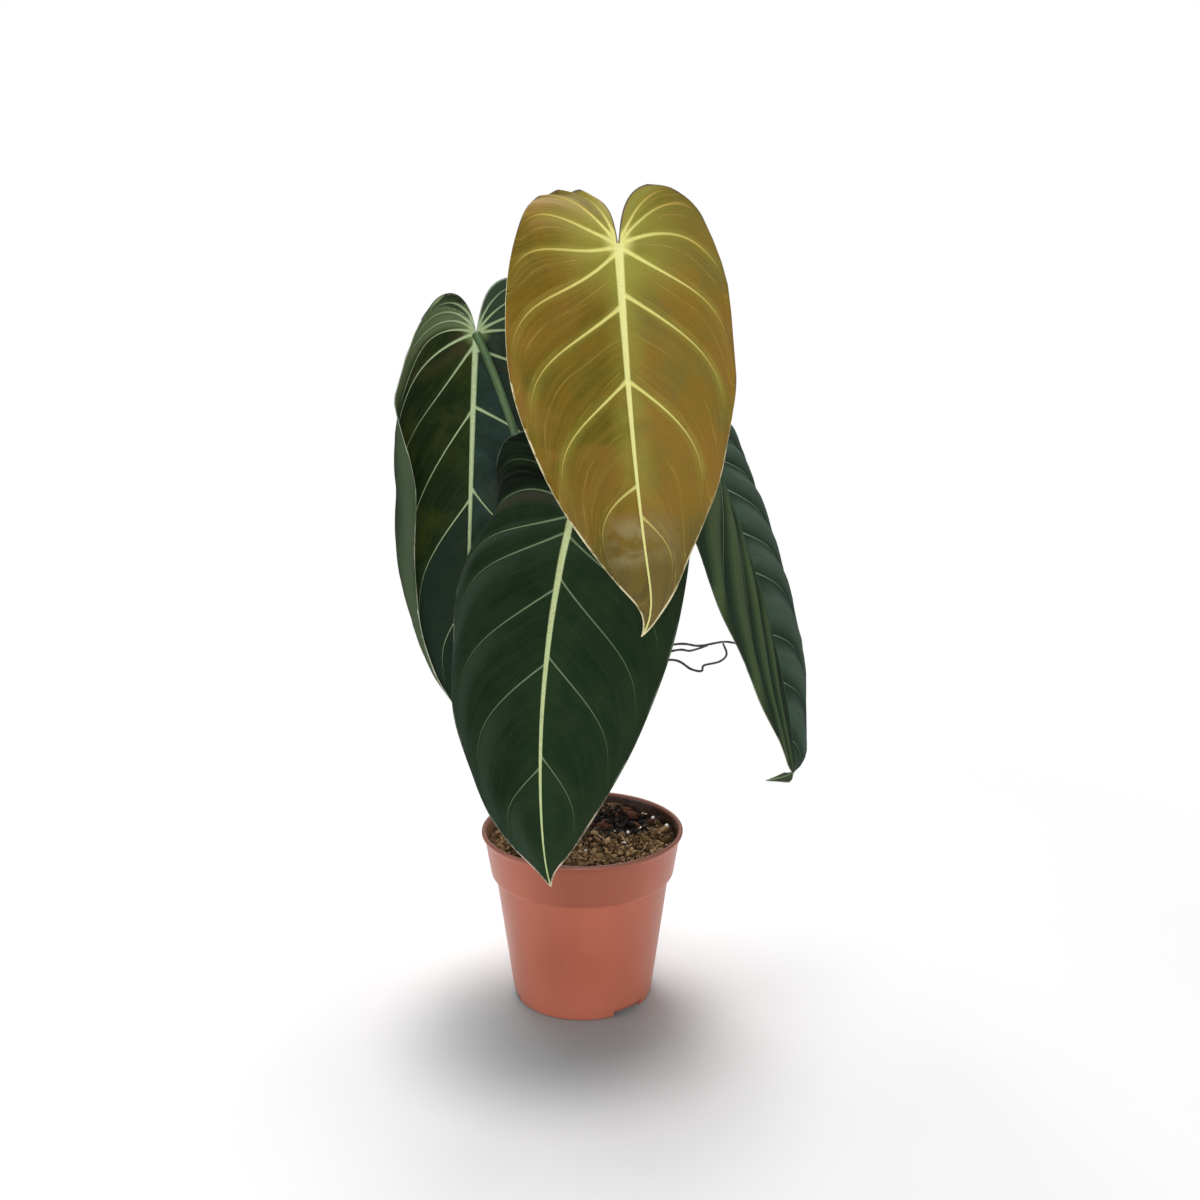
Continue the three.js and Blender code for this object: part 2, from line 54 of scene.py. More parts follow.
# A smooth piece that stands for CAD nodes. attributes are values per point that its materials read, and
# faceMaterial says which of the materials each face has.
def meshPiece(name, points, faces, materials, replaces, attributes, faceMaterial=None):
    piece = meshObject(name, points, faces)
    mesh = piece.data
    for key, values in attributes.items():
        layer = mesh.attributes.new(key, "FLOAT", "POINT")
        layer.data.foreach_set("value", np.asarray(values, np.float32).ravel())
    mesh.polygons.foreach_set("use_smooth", np.full(len(mesh.polygons), True))
    for material in materials:
        mesh.materials.append(material)
    if faceMaterial is not None:
        mesh.polygons.foreach_set("material_index", np.asarray(faceMaterial, np.int32))
    mesh.update()
    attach(piece, "root")
    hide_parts(*replaces)
    return piece


# Quads of a grid of rows by columns; wrap joins the last column to the first.
def gridFaces(rows, columns, wrap=False, start=0, flip=False):
    i = np.arange(rows - 1)[:, None]
    j = np.arange(columns if wrap else columns - 1)[None, :]
    k = (j + 1) % columns
    corners = [i * columns + j, (i + 1) * columns + j, (i + 1) * columns + k, i * columns + k]
    quads = start + np.stack([c + 0 * i + 0 * j for c in corners], -1).reshape(-1, 4)
    return quads[:, ::-1] if flip else quads


# Rings of equal size as one closed surface: quads from ring to ring and a fan to a point at either end.
def closedRings(rings, firstTip, lastTip, flip):
    rows, columns = rings.shape[:2]
    points = np.concatenate([rings.reshape(-1, 3), [firstTip, lastTip]])
    j = np.arange(columns)
    k = (j + 1) % columns
    last = (rows - 1) * columns
    fans = [np.stack([k, j, 0 * j + last + columns], 1),
            np.stack([last + j, last + k, 0 * j + last + columns + 1], 1)]
    if not flip:
        fans = [fan[:, ::-1] for fan in fans]
    return points, [gridFaces(rows, columns, wrap=True, flip=flip)] + fans


# Quads that have collapsed along one side become triangles, and collapsed ones are dropped.
def withoutRepeats(quads):
    repeats = quads == np.roll(quads, -1, axis=1)
    whole = quads[~repeats.any(1)]
    halves = quads[repeats.sum(1) == 1]
    keep = ~repeats[repeats.sum(1) == 1]
    return whole, halves[keep].reshape(-1, 3)


# Bezier curve through whole arrays.
def cubic(p0, p1, p2, p3, count):
    t = np.linspace(0, 1, count)[:, None]
    return (1 - t) ** 3 * p0 + 3 * t * (1 - t) ** 2 * p1 + 3 * t**2 * (1 - t) * p2 + t**3 * p3


# Points and faces of a closed tube along a path: circles in the plane square to it, turned from the
# direction aside, with bumps (a function of the run and the angle) as shares of the radius.
def tube(path, radius, sides, aside, bumps=None):
    tangent = np.gradient(path, axis=0)
    tangent /= np.linalg.norm(tangent, axis=1, keepdims=True)
    first = np.cross(tangent, aside)
    first /= np.linalg.norm(first, axis=1, keepdims=True)
    second = np.cross(tangent, first)
    turn = np.linspace(0, 2 * np.pi, sides, endpoint=False)[None, :]
    run = np.concatenate([[0], np.cumsum(np.linalg.norm(np.diff(path, axis=0), axis=1))])[:, None]
    wide = np.broadcast_to(np.asarray(radius, float).reshape(-1, 1), (len(path), 1))
    wide = wide * (1 + (bumps(run, turn) if bumps else 0 * turn))
    ring = path[:, None] + wide[..., None] * (np.cos(turn)[..., None] * first[:, None]
                                              + np.sin(turn)[..., None] * second[:, None])
    points, faces = closedRings(ring, path[0], path[-1], flip=True)
    extra = {"run": np.concatenate([np.repeat(run, sides), [0, run[-1, 0]]]),
             "around": np.concatenate([np.tile(turn.ravel(), len(path)), [0, 0]])}
    return points, faces, extra


# Several (points, faces, attributes) as one.
def joined(parts):
    offset = 0
    points, faces, attributes = [], [], {}
    for partPoints, partFaces, partAttributes in parts:
        points.append(partPoints)
        faces += [block + offset for block in partFaces]
        for key, values in partAttributes.items():
            attributes.setdefault(key, []).append(np.asarray(values, float).ravel())
        offset += len(partPoints)
    return np.concatenate(points), faces, {key: np.concatenate(v) for key, v in attributes.items()}


# Shader nodes

# Adds a node; an input is a constant or a socket to link.
def put(tree, kind, inputs=None, **settings):
    node = tree.nodes.new("ShaderNode" + kind)
    for key, value in settings.items():
        setattr(node, key, value)
    for key, value in (inputs or {}).items():
        if isinstance(value, bpy.types.NodeSocket):
            tree.links.new(value, node.inputs[key])
        else:
            node.inputs[key].default_value = value
    return node


def calc(tree, operation, a, b=0.0, c=0.0):
    return put(tree, "Math", {0: a, 1: b, 2: c}, operation=operation).outputs[0]


def times(tree, a, b):
    return calc(tree, "MULTIPLY", a, b)


# Smooth step between two values.
def ramped(tree, value, fromMin, fromMax, toMin=0.0, toMax=1.0):
    node = put(tree, "MapRange", {"Value": value, "From Min": fromMin, "From Max": fromMax, "To Min": toMin,
                                  "To Max": toMax}, interpolation_type="SMOOTHSTEP")
    return node.outputs[0]


def mixed(tree, share, a, b, blend="MIX"):
    a, b = [(*v, 1.0) if isinstance(v, tuple) and len(v) == 3 else v for v in (a, b)]
    node = put(tree, "Mix", {0: share, 6: a, 7: b}, data_type="RGBA", blend_type=blend)
    return node.outputs[2]


def attribute(tree, name):
    return put(tree, "Attribute", attribute_name=name).outputs["Fac"]


def vector(tree, x, y, z):
    return put(tree, "CombineXYZ", {0: x, 1: y, 2: z}).outputs[0]


def objectPlace(tree):
    return put(tree, "TexCoord").outputs["Object"]


# X, Y and Z of a vector, by name.
def axesOf(tree, place):
    return put(tree, "SeparateXYZ", {0: place}).outputs


# Noise, by default on Object coordinates, where its scale is in cells a metre; stretch squeezes it along an
# axis.
def noise(tree, scale, detail=3.0, roughness=0.5, stretch=None, distortion=0.0, place=None):
    if place is None:
        place = objectPlace(tree)
    if stretch:
        place = put(tree, "Mapping", {"Vector": place, "Scale": stretch}).outputs[0]
    return put(tree, "TexNoise", {"Vector": place, "Scale": scale, "Detail": detail, "Roughness": roughness,
                                  "Distortion": distortion}).outputs["Fac"]


# A node group with named float inputs (name: default) and float outputs.
def newGroup(name, inputs, outputs):
    group = bpy.data.node_groups.new(name, "ShaderNodeTree")
    for key, value in inputs.items():
        group.interface.new_socket(key, in_out="INPUT", socket_type="NodeSocketFloat").default_value = value
    for key in outputs:
        group.interface.new_socket(key, in_out="OUTPUT", socket_type="NodeSocketFloat")
    return group, group.nodes.new("NodeGroupInput"), group.nodes.new("NodeGroupOutput")


def placed(tree, group, **values):
    node = tree.nodes.new("ShaderNodeGroup")
    node.node_tree = group
    for key, value in values.items():
        node.inputs[key.replace("_", " ")].default_value = value
    return node.outputs


def newMaterial(name):
    material = bpy.data.materials.new(name)
    material.use_nodes = True
    return material, material.node_tree, material.node_tree.nodes["Principled BSDF"]


# Links colour, roughness and bump to the Principled shader and sets its constants.
def finishMaterial(tree, shader, colour, roughness, height, strength, distance, **constants):
    for key, value in (("Base Color", colour), ("Roughness", roughness)):
        if isinstance(value, bpy.types.NodeSocket):
            tree.links.new(value, shader.inputs[key])
        else:
            shader.inputs[key].default_value = value
    for key, value in constants.items():
        shader.inputs[key.replace("_", " ")].default_value = value
    bump = put(tree, "Bump", {"Height": height, "Strength": strength, "Distance": distance})
    tree.links.new(bump.outputs[0], shader.inputs["Normal"])


print("helpers ready")


# Camera, lights and floor

viewer = {"lens": 42.6, "sensor": 36, "at": (0.0107, -0.807, 0.435), "tilt": 76.9}
camera = bpy.data.objects.new("camera", bpy.data.cameras.new("camera"))
camera.data.lens = viewer["lens"]
camera.data.sensor_width = viewer["sensor"]
camera.location = viewer["at"]
camera.rotation_euler = (np.radians(viewer["tilt"]), 0, 0)
scene.collection.objects.link(camera)
scene.camera = camera
scene.view_settings.view_transform = "Standard"

studio = {
    "overhead": {"at": (-0.05, 0.22, 1.35), "size": 1.0, "watts": 14},
    "behind": {"at": (-0.35, 1.15, 1.35), "size": 0.8, "watts": 10},
    "front": {"at": (0.0, -1.7, 0.45), "size": 0.7, "watts": 15},
    "left": {"at": (-1.35, -0.4, 0.45), "size": 0.7, "watts": 2.5},
    "right": {"at": (1.35, -0.4, 0.45), "size": 0.7, "watts": 1.2},
}


# A square panel that looks at the middle of the plant.
def addLight(name, at, size, watts):
    lamp = bpy.data.lights.new(name, "AREA")
    lamp.size = size
    lamp.energy = watts
    light = bpy.data.objects.new(name, lamp)
    light.location = at
    away = np.array(at) - [0, 0, 0.3]
    flat = np.hypot(away[0], away[1])
    light.rotation_euler = (np.arctan2(flat, away[2]), 0, np.arctan2(away[1], away[0]) + np.pi / 2)
    scene.collection.objects.link(light)


for name, lamp in studio.items():
    addLight(name, **lamp)

# The room is white to the camera and dimmer as a light.
roomLight = 0.26
world = bpy.data.worlds.new("paleRoom")
world.use_nodes = True
scene.world = world
room = world.node_tree.nodes["Background"]
room.inputs["Color"].default_value = (1, 1, 1, 1)
seen = put(world.node_tree, "LightPath").outputs["Is Camera Ray"]
world.node_tree.links.new(ramped(world.node_tree, seen, 0.0, 1.0, roomLight, 1.0), room.inputs["Strength"])


# shade is the colour of a painted shadow on the floor, darkest just in front of the pot.
floorLook = {"pale": (0.86, 0.86, 0.86), "shade": (0.4, 0.43, 0.435), "shadeOffset": (0.016, 0.05, 0),
             "shadeFrom": (0.025, 0.12), "fadeFrom": (0.25, 0.62), "radius": 2000}


# A pale disc with a painted shadow in front of the pot, that fades into the white room.
def floor():
    material, tree, shader = newMaterial("paleFloor")
    shader.inputs["Roughness"].default_value = 0.9
    place = objectPlace(tree)
    moved = put(tree, "VectorMath", {0: place, 1: floorLook["shadeOffset"]}).outputs[0]
    front = put(tree, "VectorMath", {0: moved}, operation="LENGTH").outputs["Value"]
    tone = mixed(tree, ramped(tree, front, *floorLook["shadeFrom"]), floorLook["shade"], floorLook["pale"])
    tree.links.new(tone, shader.inputs["Base Color"])
    away = put(tree, "VectorMath", {0: place}, operation="LENGTH").outputs["Value"]
    clear = put(tree, "BsdfTransparent").outputs[0]
    faded = ramped(tree, away, *floorLook["fadeFrom"])
    blend = put(tree, "MixShader", {0: faded, 1: shader.outputs[0], 2: clear})
    tree.links.new(blend.outputs[0], tree.nodes["Material Output"].inputs["Surface"])
    turn = np.linspace(0, 2 * np.pi, 96, endpoint=False)
    rim = np.stack([np.cos(turn), np.sin(turn), 0 * turn], 1) * floorLook["radius"]
    disc = meshObject("floor", rim, [np.arange(96)[None]])
    disc.data.materials.append(material)


floor()
print("camera, lights and floor ready")


# Leaf blades

# Sizes in millimetres and angles in degrees. A vein is its share of the midrib, its share of the margin and
# the angle at which it leaves.
commonBlade = {"tipSway": 0, "tipHook": 0, "tipTwist": 0, "hookFrom": 0.84, "hookSpan": 0.16, "ripple": 0.8}
leaves = {
    "gold": {
        **commonBlade, "length": 204, "halfWidth": 62, "junction": [20, -62, 448.3], "heading": 6.4,
        "droop": 61, "turn": 0, "arch": [20, -0.5], "sway": [3, 6], "tipSway": -47, "quilt": 0.6,
        "midribWidth": 4.4, "keel": 1.5,
        "right": {"fold": -1.5, "curl": -26.5, "lift": -16, "slim": -0.06,
                  "veins": [(0, 0.058, 152), (0, 0.13, 141), (0.005, 0.267, 117), (0.01, 0.46, 56),
                            (0.137, 0.63, 56), (0.365, 0.83, 52), (0.7, 0.945, 42)]},
        "left": {"fold": 10.7, "curl": -5.5, "lift": 31, "slim": -0.06, "narrow": 0.09, "lobeFold": 1.5,
                 "ruffle": 1.6,
                 "veins": [(0, 0.045, 158), (0, 0.1, 136), (0, 0.19, 104), (0.008, 0.29, 64),
                           (0.018, 0.48, 38), (0.17, 0.628, 48), (0.362, 0.763, 45), (0.626, 0.894, 62)]},
    },
    "front": {
        **commonBlade, "length": 229, "halfWidth": 67.4, "junction": [-1.3, -54, 317.8], "heading": -17,
        "droop": 43, "turn": 4, "arch": [52.6, 24.7], "sway": [-2, -4.7], "tipSway": 5, "quilt": 1.3,
        "midribWidth": 4.0, "keel": 1.5,
        "right": {"fold": 1.1, "curl": -26, "lift": 0, "slim": -0.16,
                  "veins": [(0, 0.06, 165), (0, 0.13, 145), (0, 0.2, 125), (0.005, 0.29, 95),
                            (0.03, 0.43, 62), (0.113, 0.58, 48), (0.22, 0.7, 41), (0.405, 0.803, 46),
                            (0.631, 0.93, 42)]},
        "left": {"fold": 7.9, "curl": -46, "lift": -75, "slim": 0.14, "narrow": -0.11, "tuck": -68,
                 "veins": [(0, 0.06, 165), (0, 0.13, 150), (0, 0.19, 140), (0.047, 0.29, 137),
                           (0.06, 0.375, 66), (0.104, 0.47, 57), (0.248, 0.68, 50), (0.423, 0.838, 49),
                           (0.659, 0.93, 41)]},
    },
    "back": {
        **commonBlade, "length": 252.5, "halfWidth": 73.2, "junction": [-62.8, 48, 398.8], "heading": 194,
        "droop": 68.5, "turn": 5.7, "arch": [40, 1], "sway": [-1, 4], "quilt": 0.9, "midribWidth": 4.0,
        "keel": 1.7,
        "right": {"fold": 1.5, "curl": -82, "lift": 37, "slim": 0.46, "narrow": 0.08, "open": 0.31,
                  "lobeFold": -16, "roll": -125, "rollFrom": 0.73, "meet": 25,
                  "veins": [(0, 0.05, 167), (0, 0.11, 153), (0, 0.2, 138), (0, 0.35, 110),
                            (0, 0.45, 72), (0.025, 0.56, 32), (0.192, 0.815, 32), (0.42, 0.865, 35),
                            (0.68, 0.94, 32)]},
        "left": {"fold": -7.5, "curl": -20, "lift": 14.6,
                 "veins": [(0, 0.05, 165), (0, 0.11, 150), (0, 0.18, 128), (0, 0.28, 105), (0.04, 0.42, 75),
                           (0.185, 0.61, 66), (0.39, 0.75, 34), (0.66, 0.92, 34)]},
    },
    "side": {
        **commonBlade, "length": 221.6, "halfWidth": 60.8, "junction": [72.2, 10, 340], "heading": 64.5,
        "droop": 64.5, "turn": -8, "arch": [12.4, 8.6], "sway": [1.4, 0.7], "tipSway": -26, "tipHook": 87,
        "tipTwist": -38, "hookFrom": 0.878, "hookSpan": 0.065, "quilt": 2.6, "midribWidth": 3.4, "keel": 1.4,
        "right": {"fold": 16.4, "curl": -29, "lift": 0, "slim": 0.15,
                  "veins": [(0, 0.06, 165), (0, 0.13, 145), (0, 0.2, 125), (0, 0.33, 85), (0.05, 0.43, 65),
                            (0.14, 0.526, 61), (0.26, 0.614, 64), (0.37, 0.7, 64), (0.54, 0.79, 66),
                            (0.67, 0.86, 60), (0.83, 0.95, 45)]},
        "left": {"fold": -7, "curl": -9, "lift": 0, "slim": -0.085,
                 "veins": [(0, 0.06, 165), (0, 0.13, 145), (0, 0.2, 125), (0, 0.3, 90), (0.03, 0.45, 52),
                           (0.08, 0.66, 30), (0.15, 0.86, 16), (0.3, 0.95, 14), (0.5, 0.985, 14)]},
    },
}
rollStart = 0.11
rollSpan = 0.25
# Half of a flat blade's outline from the top of its lobe to its tip, in shares of length and half width.
leafOutline = np.array([
    [-0.158, 0.27], [-0.15, 0.5], [-0.095, 0.77], [0.02, 0.93], [0.19, 1], [0.38, 0.965],
    [0.57, 0.8], [0.73, 0.545], [0.86, 0.275], [0.94, 0.085], [1, 0],
])


# Uniform Catmull-Rom: a cubic through the points whose slope at each is half the step between its
# neighbours.
def splineThrough(points, samples):
    last = len(points) - 1
    place = np.linspace(0, last, samples)
    i = np.minimum(place.astype(int), last - 1)
    t = (place - i)[:, None]
    before, here = points[np.maximum(i - 1, 0)], points[i]
    there, after = points[i + 1], points[np.minimum(i + 2, last)]
    leave, arrive = (there - before) / 2, (after - here) / 2
    return ((2 * here - 2 * there + leave + arrive) * t**3
            + (3 * there - 3 * here - 2 * leave - arrive) * t**2 + leave * t + here)


# Outline of one half in millimetres, with the share of its length run so far. Near the top of the lobe the
# half stands further off by its open, fading with the square of the way left.
def marginOf(leaf, half):
    outline = splineThrough(leafOutline, 401)
    trimTip = 1 + half.get("slim", 0) * np.clip(outline[:, 0], 0, 1) ** 2
    trimLobe = 1 - half.get("narrow", 0) * np.clip((0.35 - outline[:, 0]) / 0.5, 0, 1)
    a = outline[:, 0] * leaf["length"]
    opened = half.get("open", 0) * np.clip(1 - np.linspace(0, 5, 401), 0, 1) ** 2
    b = (outline[:, 1] * trimTip * trimLobe + opened) * leaf["halfWidth"]
    run = np.concatenate([[0], np.cumsum(np.hypot(np.diff(a), np.diff(b)))])
    return a, b, run / run[-1]


# The share of the margin that belongs to the lobe.
lobeMargin = 0.42


# Flat veins as cubics: they leave the midrib at an angle and meet the margin at a small one, and shorter arms
# make them rounder in the lobe. start and end are shares of the midrib and of the margin.
def veinLines(leaf, half, margin, start, end, leave, v):
    a, b, share = margin
    endA, endB = np.interp(end, share, a), np.interp(end, share, b)
    ahead, behind = np.minimum(end + 1e-3, 1), np.maximum(end - 1e-3, 0)
    runA = np.interp(ahead, share, a) - np.interp(behind, share, a)
    runB = np.interp(ahead, share, b) - np.interp(behind, share, b)
    lobe = np.clip(1 - end / lobeMargin, 0, 1)
    leave = np.radians(leave)
    arrive = np.arctan2(runB, runA) + np.radians(half.get("meet", 10) * (1 - lobe) + 20 * lobe)
    startA = start * leaf["length"]
    reach = np.hypot(endA - startA, endB)
    first, second = (0.5 - 0.14 * lobe) * reach, (0.55 - 0.15 * lobe) * reach
    nodesA = [startA, startA + first * np.cos(leave), endA - second * np.cos(arrive), endA]
    nodesB = [0 * endB, first * np.sin(leave), endB - second * np.sin(arrive), endB]
    v = v[None, :]
    weights = [(1 - v) ** 3, 3 * v * (1 - v) ** 2, 3 * v**2 * (1 - v), v**3]
    return [sum(w * n[:, None] for w, n in zip(weights, nodes)) for nodes in (nodesA, nodesB)]


# Stations along the midrib: point and the blade's along, across and up there.
def midribOf(leaf):
    heading, droop, turn = np.radians([leaf["heading"], leaf["droop"], leaf["turn"]])
    out = np.array([np.sin(heading), -np.cos(heading), 0])
    along0 = out * np.cos(droop) - np.array([0, 0, np.sin(droop)])
    up0 = out * np.sin(droop) + np.array([0, 0, np.cos(droop)])
    up0 = up0 * np.cos(turn) + np.cross(along0, up0) * np.sin(turn)
    across0 = np.cross(up0, along0)
    x = np.linspace(0, 1, 121)
    hook = np.clip((x - leaf["hookFrom"]) / leaf["hookSpan"], 0, 1) ** 2
    bend = np.radians(leaf["arch"][0] * x + leaf["arch"][1] * x**2 + leaf["tipHook"] * hook)[:, None]
    sway = np.radians(leaf["sway"][0] * x + leaf["sway"][1] * x**2 + leaf["tipSway"] * hook)[:, None]
    ahead = np.cos(bend) * along0 - np.sin(bend) * up0
    up = np.sin(bend) * along0 + np.cos(bend) * up0
    along = np.cos(sway) * ahead + np.sin(sway) * across0
    across = np.cross(up, along)
    twist = np.radians(leaf["tipTwist"] * hook)[:, None]
    steps = (along[1:] + along[:-1]) * leaf["length"] / 240
    point = np.array(leaf["junction"]) + np.concatenate([[[0, 0, 0]], np.cumsum(steps, axis=0)])
    turned = [np.cos(twist) * way + np.sin(twist) * np.cross(along, way) for way in (across, up)]
    return point, along, *turned


# Where flat points come to lie in space, and the blade's upward normal: the midrib bends along its length,
# the lobes lift off it in six steps, and each half slopes across by its fold, curl and roll, summed up in
# twelve.
def layOut(leaf, half, side, margin, a, b, end, v):
    point, along, across, up = midribOf(leaf)
    x = a / leaf["length"]
    place = np.clip(x, 0, 1) * 120
    i = np.minimum(place.astype(int), 119)
    t = (place - i)[..., None]
    spot, sideways, upwards = [s[i] + (s[i + 1] - s[i]) * t for s in (point, across, up)]
    lobe = a < 0
    for k in range(6):
        bend = np.radians(half.get("lift", 0) * np.clip((k + 0.5) / 6 * x / 0.16, -2, 0))[..., None]
        step = np.cos(bend) * along[0] - np.sin(bend) * up[0]
        spot = spot + np.where(lobe[..., None], step * a[..., None] / 6, 0)
    upwards = np.where(lobe[..., None], np.sin(bend) * along[0] + np.cos(bend) * up[0], upwards)
    share = np.clip(b / np.maximum(np.interp(a, margin[0], margin[1]), 1e-3), 0, 1.05)
    rollFrom = half.get("rollFrom", 0.7)
    roll = (half.get("roll", 0) * np.clip((x - rollStart) / rollSpan, 0, 1)
            + half.get("tuck", 0) * np.exp(-((x / 0.06) ** 2)))
    flatSlope = half["fold"] + half.get("lobeFold", 0) * np.clip((0.22 - x) / 0.37, 0, 1)

    def slope(part):
        rolled = roll * np.maximum(share * part - rollFrom, 0) / (1 - rollFrom)
        return np.radians(flatSlope + half["curl"] * b * part / leaf["halfWidth"] + rolled)

    parts = (np.arange(12) + 0.5) / 12
    outwards = sum(np.cos(slope(part)) for part in parts) * b / 12
    raised = sum(np.sin(slope(part)) for part in parts) * b / 12
    spot = spot + side * outwards[..., None] * sideways + raised[..., None] * upwards
    angle = np.where(b > 0.01, slope(1), 0)[..., None]
    normal = np.cos(angle) * upwards - side * np.sin(angle) * sideways
    normal /= np.linalg.norm(normal, axis=-1, keepdims=True)
    wave = np.sin(2 * np.pi * (4.5 * end + (0.1 if side > 0 else 0.45)))
    fade = np.minimum(np.minimum(1, end * 8), (1 - end) * 6)
    ruffle = half.get("ruffle", 0) * np.sin(2 * np.pi * end / 0.045) * np.exp(-((end / 0.09) ** 2))
    spot = spot + normal * ((leaf["ripple"] * wave * fade + ruffle) * v**3)[..., None]
    return spot, normal


# Grid lines between two main veins crowd towards both, and rows crowd towards the midrib and the margin.
betweenVeins = np.array([0, 0.018, 0.045, 0.09, 0.16, 0.27, 0.42, 0.58, 0.73, 0.84, 0.91, 0.955, 0.982])
acrossRows = np.concatenate([[0, 0.006, 0.013, 0.022, 0.032, 0.045, 0.062], np.linspace(0.085, 0.94, 32),
                             [0.958, 0.972, 0.983, 0.992, 1]])


# Distance of each flat point to a line given by its points.
def nearest(a, b, lineA, lineB):
    gap = np.full(a.shape, 1e9)
    for p, q in zip(lineA.ravel(), lineB.ravel()):
        gap = np.minimum(gap, np.hypot(a - p, b - q))
    return gap


# Shares of the midrib at which grid lines of both halves leave it: exact at each half's main veins.
def sharedStations(leaf):
    main, other = [], []
    for half in (leaf["right"], leaf["left"]):
        starts = np.array([0, *[vein[0] for vein in half["veins"]], 1])
        first = np.flatnonzero(starts == 0)[-1]
        main.append(starts[first:])
        other.append((starts[first:-1, None] + np.diff(starts[first:])[:, None] * betweenVeins).ravel())
    main = np.unique(np.concatenate(main))
    other = np.unique(np.round(np.concatenate(other) / 0.0016)) * 0.0016
    clear = np.abs(other[:, None] - main[None]).min(1) > 0.0012
    return np.unique(np.concatenate([main, other[clear]]))


# Millimetres: thickness at the margin and what it gains within edgeRun of it, how deep a vein and the midrib
# are pressed in above and how far a vein stands out below, and how wide a vein is. The quilting is full where
# veins are fullPitch apart, and quiltRun from the margin and the midrib.
relief = {"thin": 0.35, "thicker": 0.4, "edgeRun": 2.5, "veinDip": 0.3, "ribDip": 0.35, "veinKeel": 0.6,
          "veinHalf": 0.9, "fullPitch": 18, "quiltRun": 8}


# One half blade as a grid of veins by rows: upper and lower skin, and what the materials read.
def halfBlade(leaf, side):
    half = leaf["right" if side > 0 else "left"]
    margin = marginOf(leaf, half)
    starts, ends, angles = np.array([(0, 0, 172), *half["veins"], (1, 1, 50)], float).T
    count = len(starts) - 1
    fan = np.flatnonzero(starts == 0)[-1]
    fromHub = (np.arange(fan)[:, None] + betweenVeins).ravel()
    fromRib = np.interp(sharedStations(leaf), starts[fan:], np.arange(fan, count + 1))
    phase = np.concatenate([fromHub, fromRib])
    start = np.interp(phase, np.arange(count + 1), starts)
    end = np.interp(phase, np.arange(count + 1), ends)
    leave = np.interp(phase, np.arange(count + 1), angles)
    a, b = veinLines(leaf, half, margin, start, end, leave, acrossRows)
    end, v, phase = [np.broadcast_to(w, a.shape) for w in (end[:, None], acrossRows, phase[:, None])]
    point, normal = layOut(leaf, half, side, margin, a, b, end, v)
    veinA, veinB = veinLines(leaf, half, margin, starts, ends, angles, acrossRows)
    gaps = np.array([nearest(a, b, veinA[k], veinB[k]) for k in range(count + 1)])
    low = np.minimum((phase + 1e-6).astype(int), count - 1)
    before = np.take_along_axis(gaps, low[None], 0)[0]
    after = np.take_along_axis(gaps, low[None] + 1, 0)[0]
    pitch = before + after
    share = np.where(pitch > 1e-6, before / np.maximum(pitch, 1e-6), phase - low)
    mainGap = gaps[1:count].min(0)
    edgeGap = nearest(a, b, np.concatenate([a[:, -1], a[0]]), np.concatenate([b[:, -1], b[0]]))
    # The halves share the midrib, so what they carry can't differ there.
    edgeGap[:, 0] = 0.3 * (leaf["length"] - a[:, 0])
    midGap = np.hypot(np.minimum(a, 0), b)
    hubGap = np.hypot(a, b)
    x = np.clip(a / leaf["length"], 0, 1)
    inwards = np.clip([edgeGap / relief["quiltRun"], midGap / relief["quiltRun"]], 0, 1).prod(0)
    room = np.clip(pitch / relief["fullPitch"], 0, 1) * inwards
    quilt = leaf["quilt"] * np.sin(np.pi * share) ** 2 * room
    ribHalf = leaf["midribWidth"] / 2 * (0.2 + 0.8 * (1 - x))
    veinHalf = relief["veinHalf"] * (1 - 0.6 * v)
    fade = np.clip([(1 - v) / 0.3, edgeGap / 3, midGap], 0, 1).prod(0)
    onVein = np.exp(-((mainGap / veinHalf) ** 2)) * fade
    dip = relief["veinDip"] * onVein + relief["ribDip"] * np.exp(-((midGap / ribHalf) ** 2))
    thick = relief["thin"] + relief["thicker"] * np.clip(edgeGap / relief["edgeRun"], 0, 1)
    keel = leaf["keel"] * (0.25 + 0.75 * np.sqrt(1 - x)) * np.exp(-1.2 * (midGap / ribHalf) ** 2)
    keel = np.maximum(keel, relief["veinKeel"] * onVein)
    upper = point + normal * (quilt - dip)[..., None]
    lower = point + normal * (quilt - thick - keel)[..., None]
    facts = {"midGap": midGap, "mainGap": mainGap, "edgeGap": edgeGap, "hubGap": hubGap,
             "veinPhase": low + share, "veinPitch": pitch, "veinShare": v, "along": a / leaf["length"],
             "halfSide": 0 * a + side}
    return upper, lower, facts


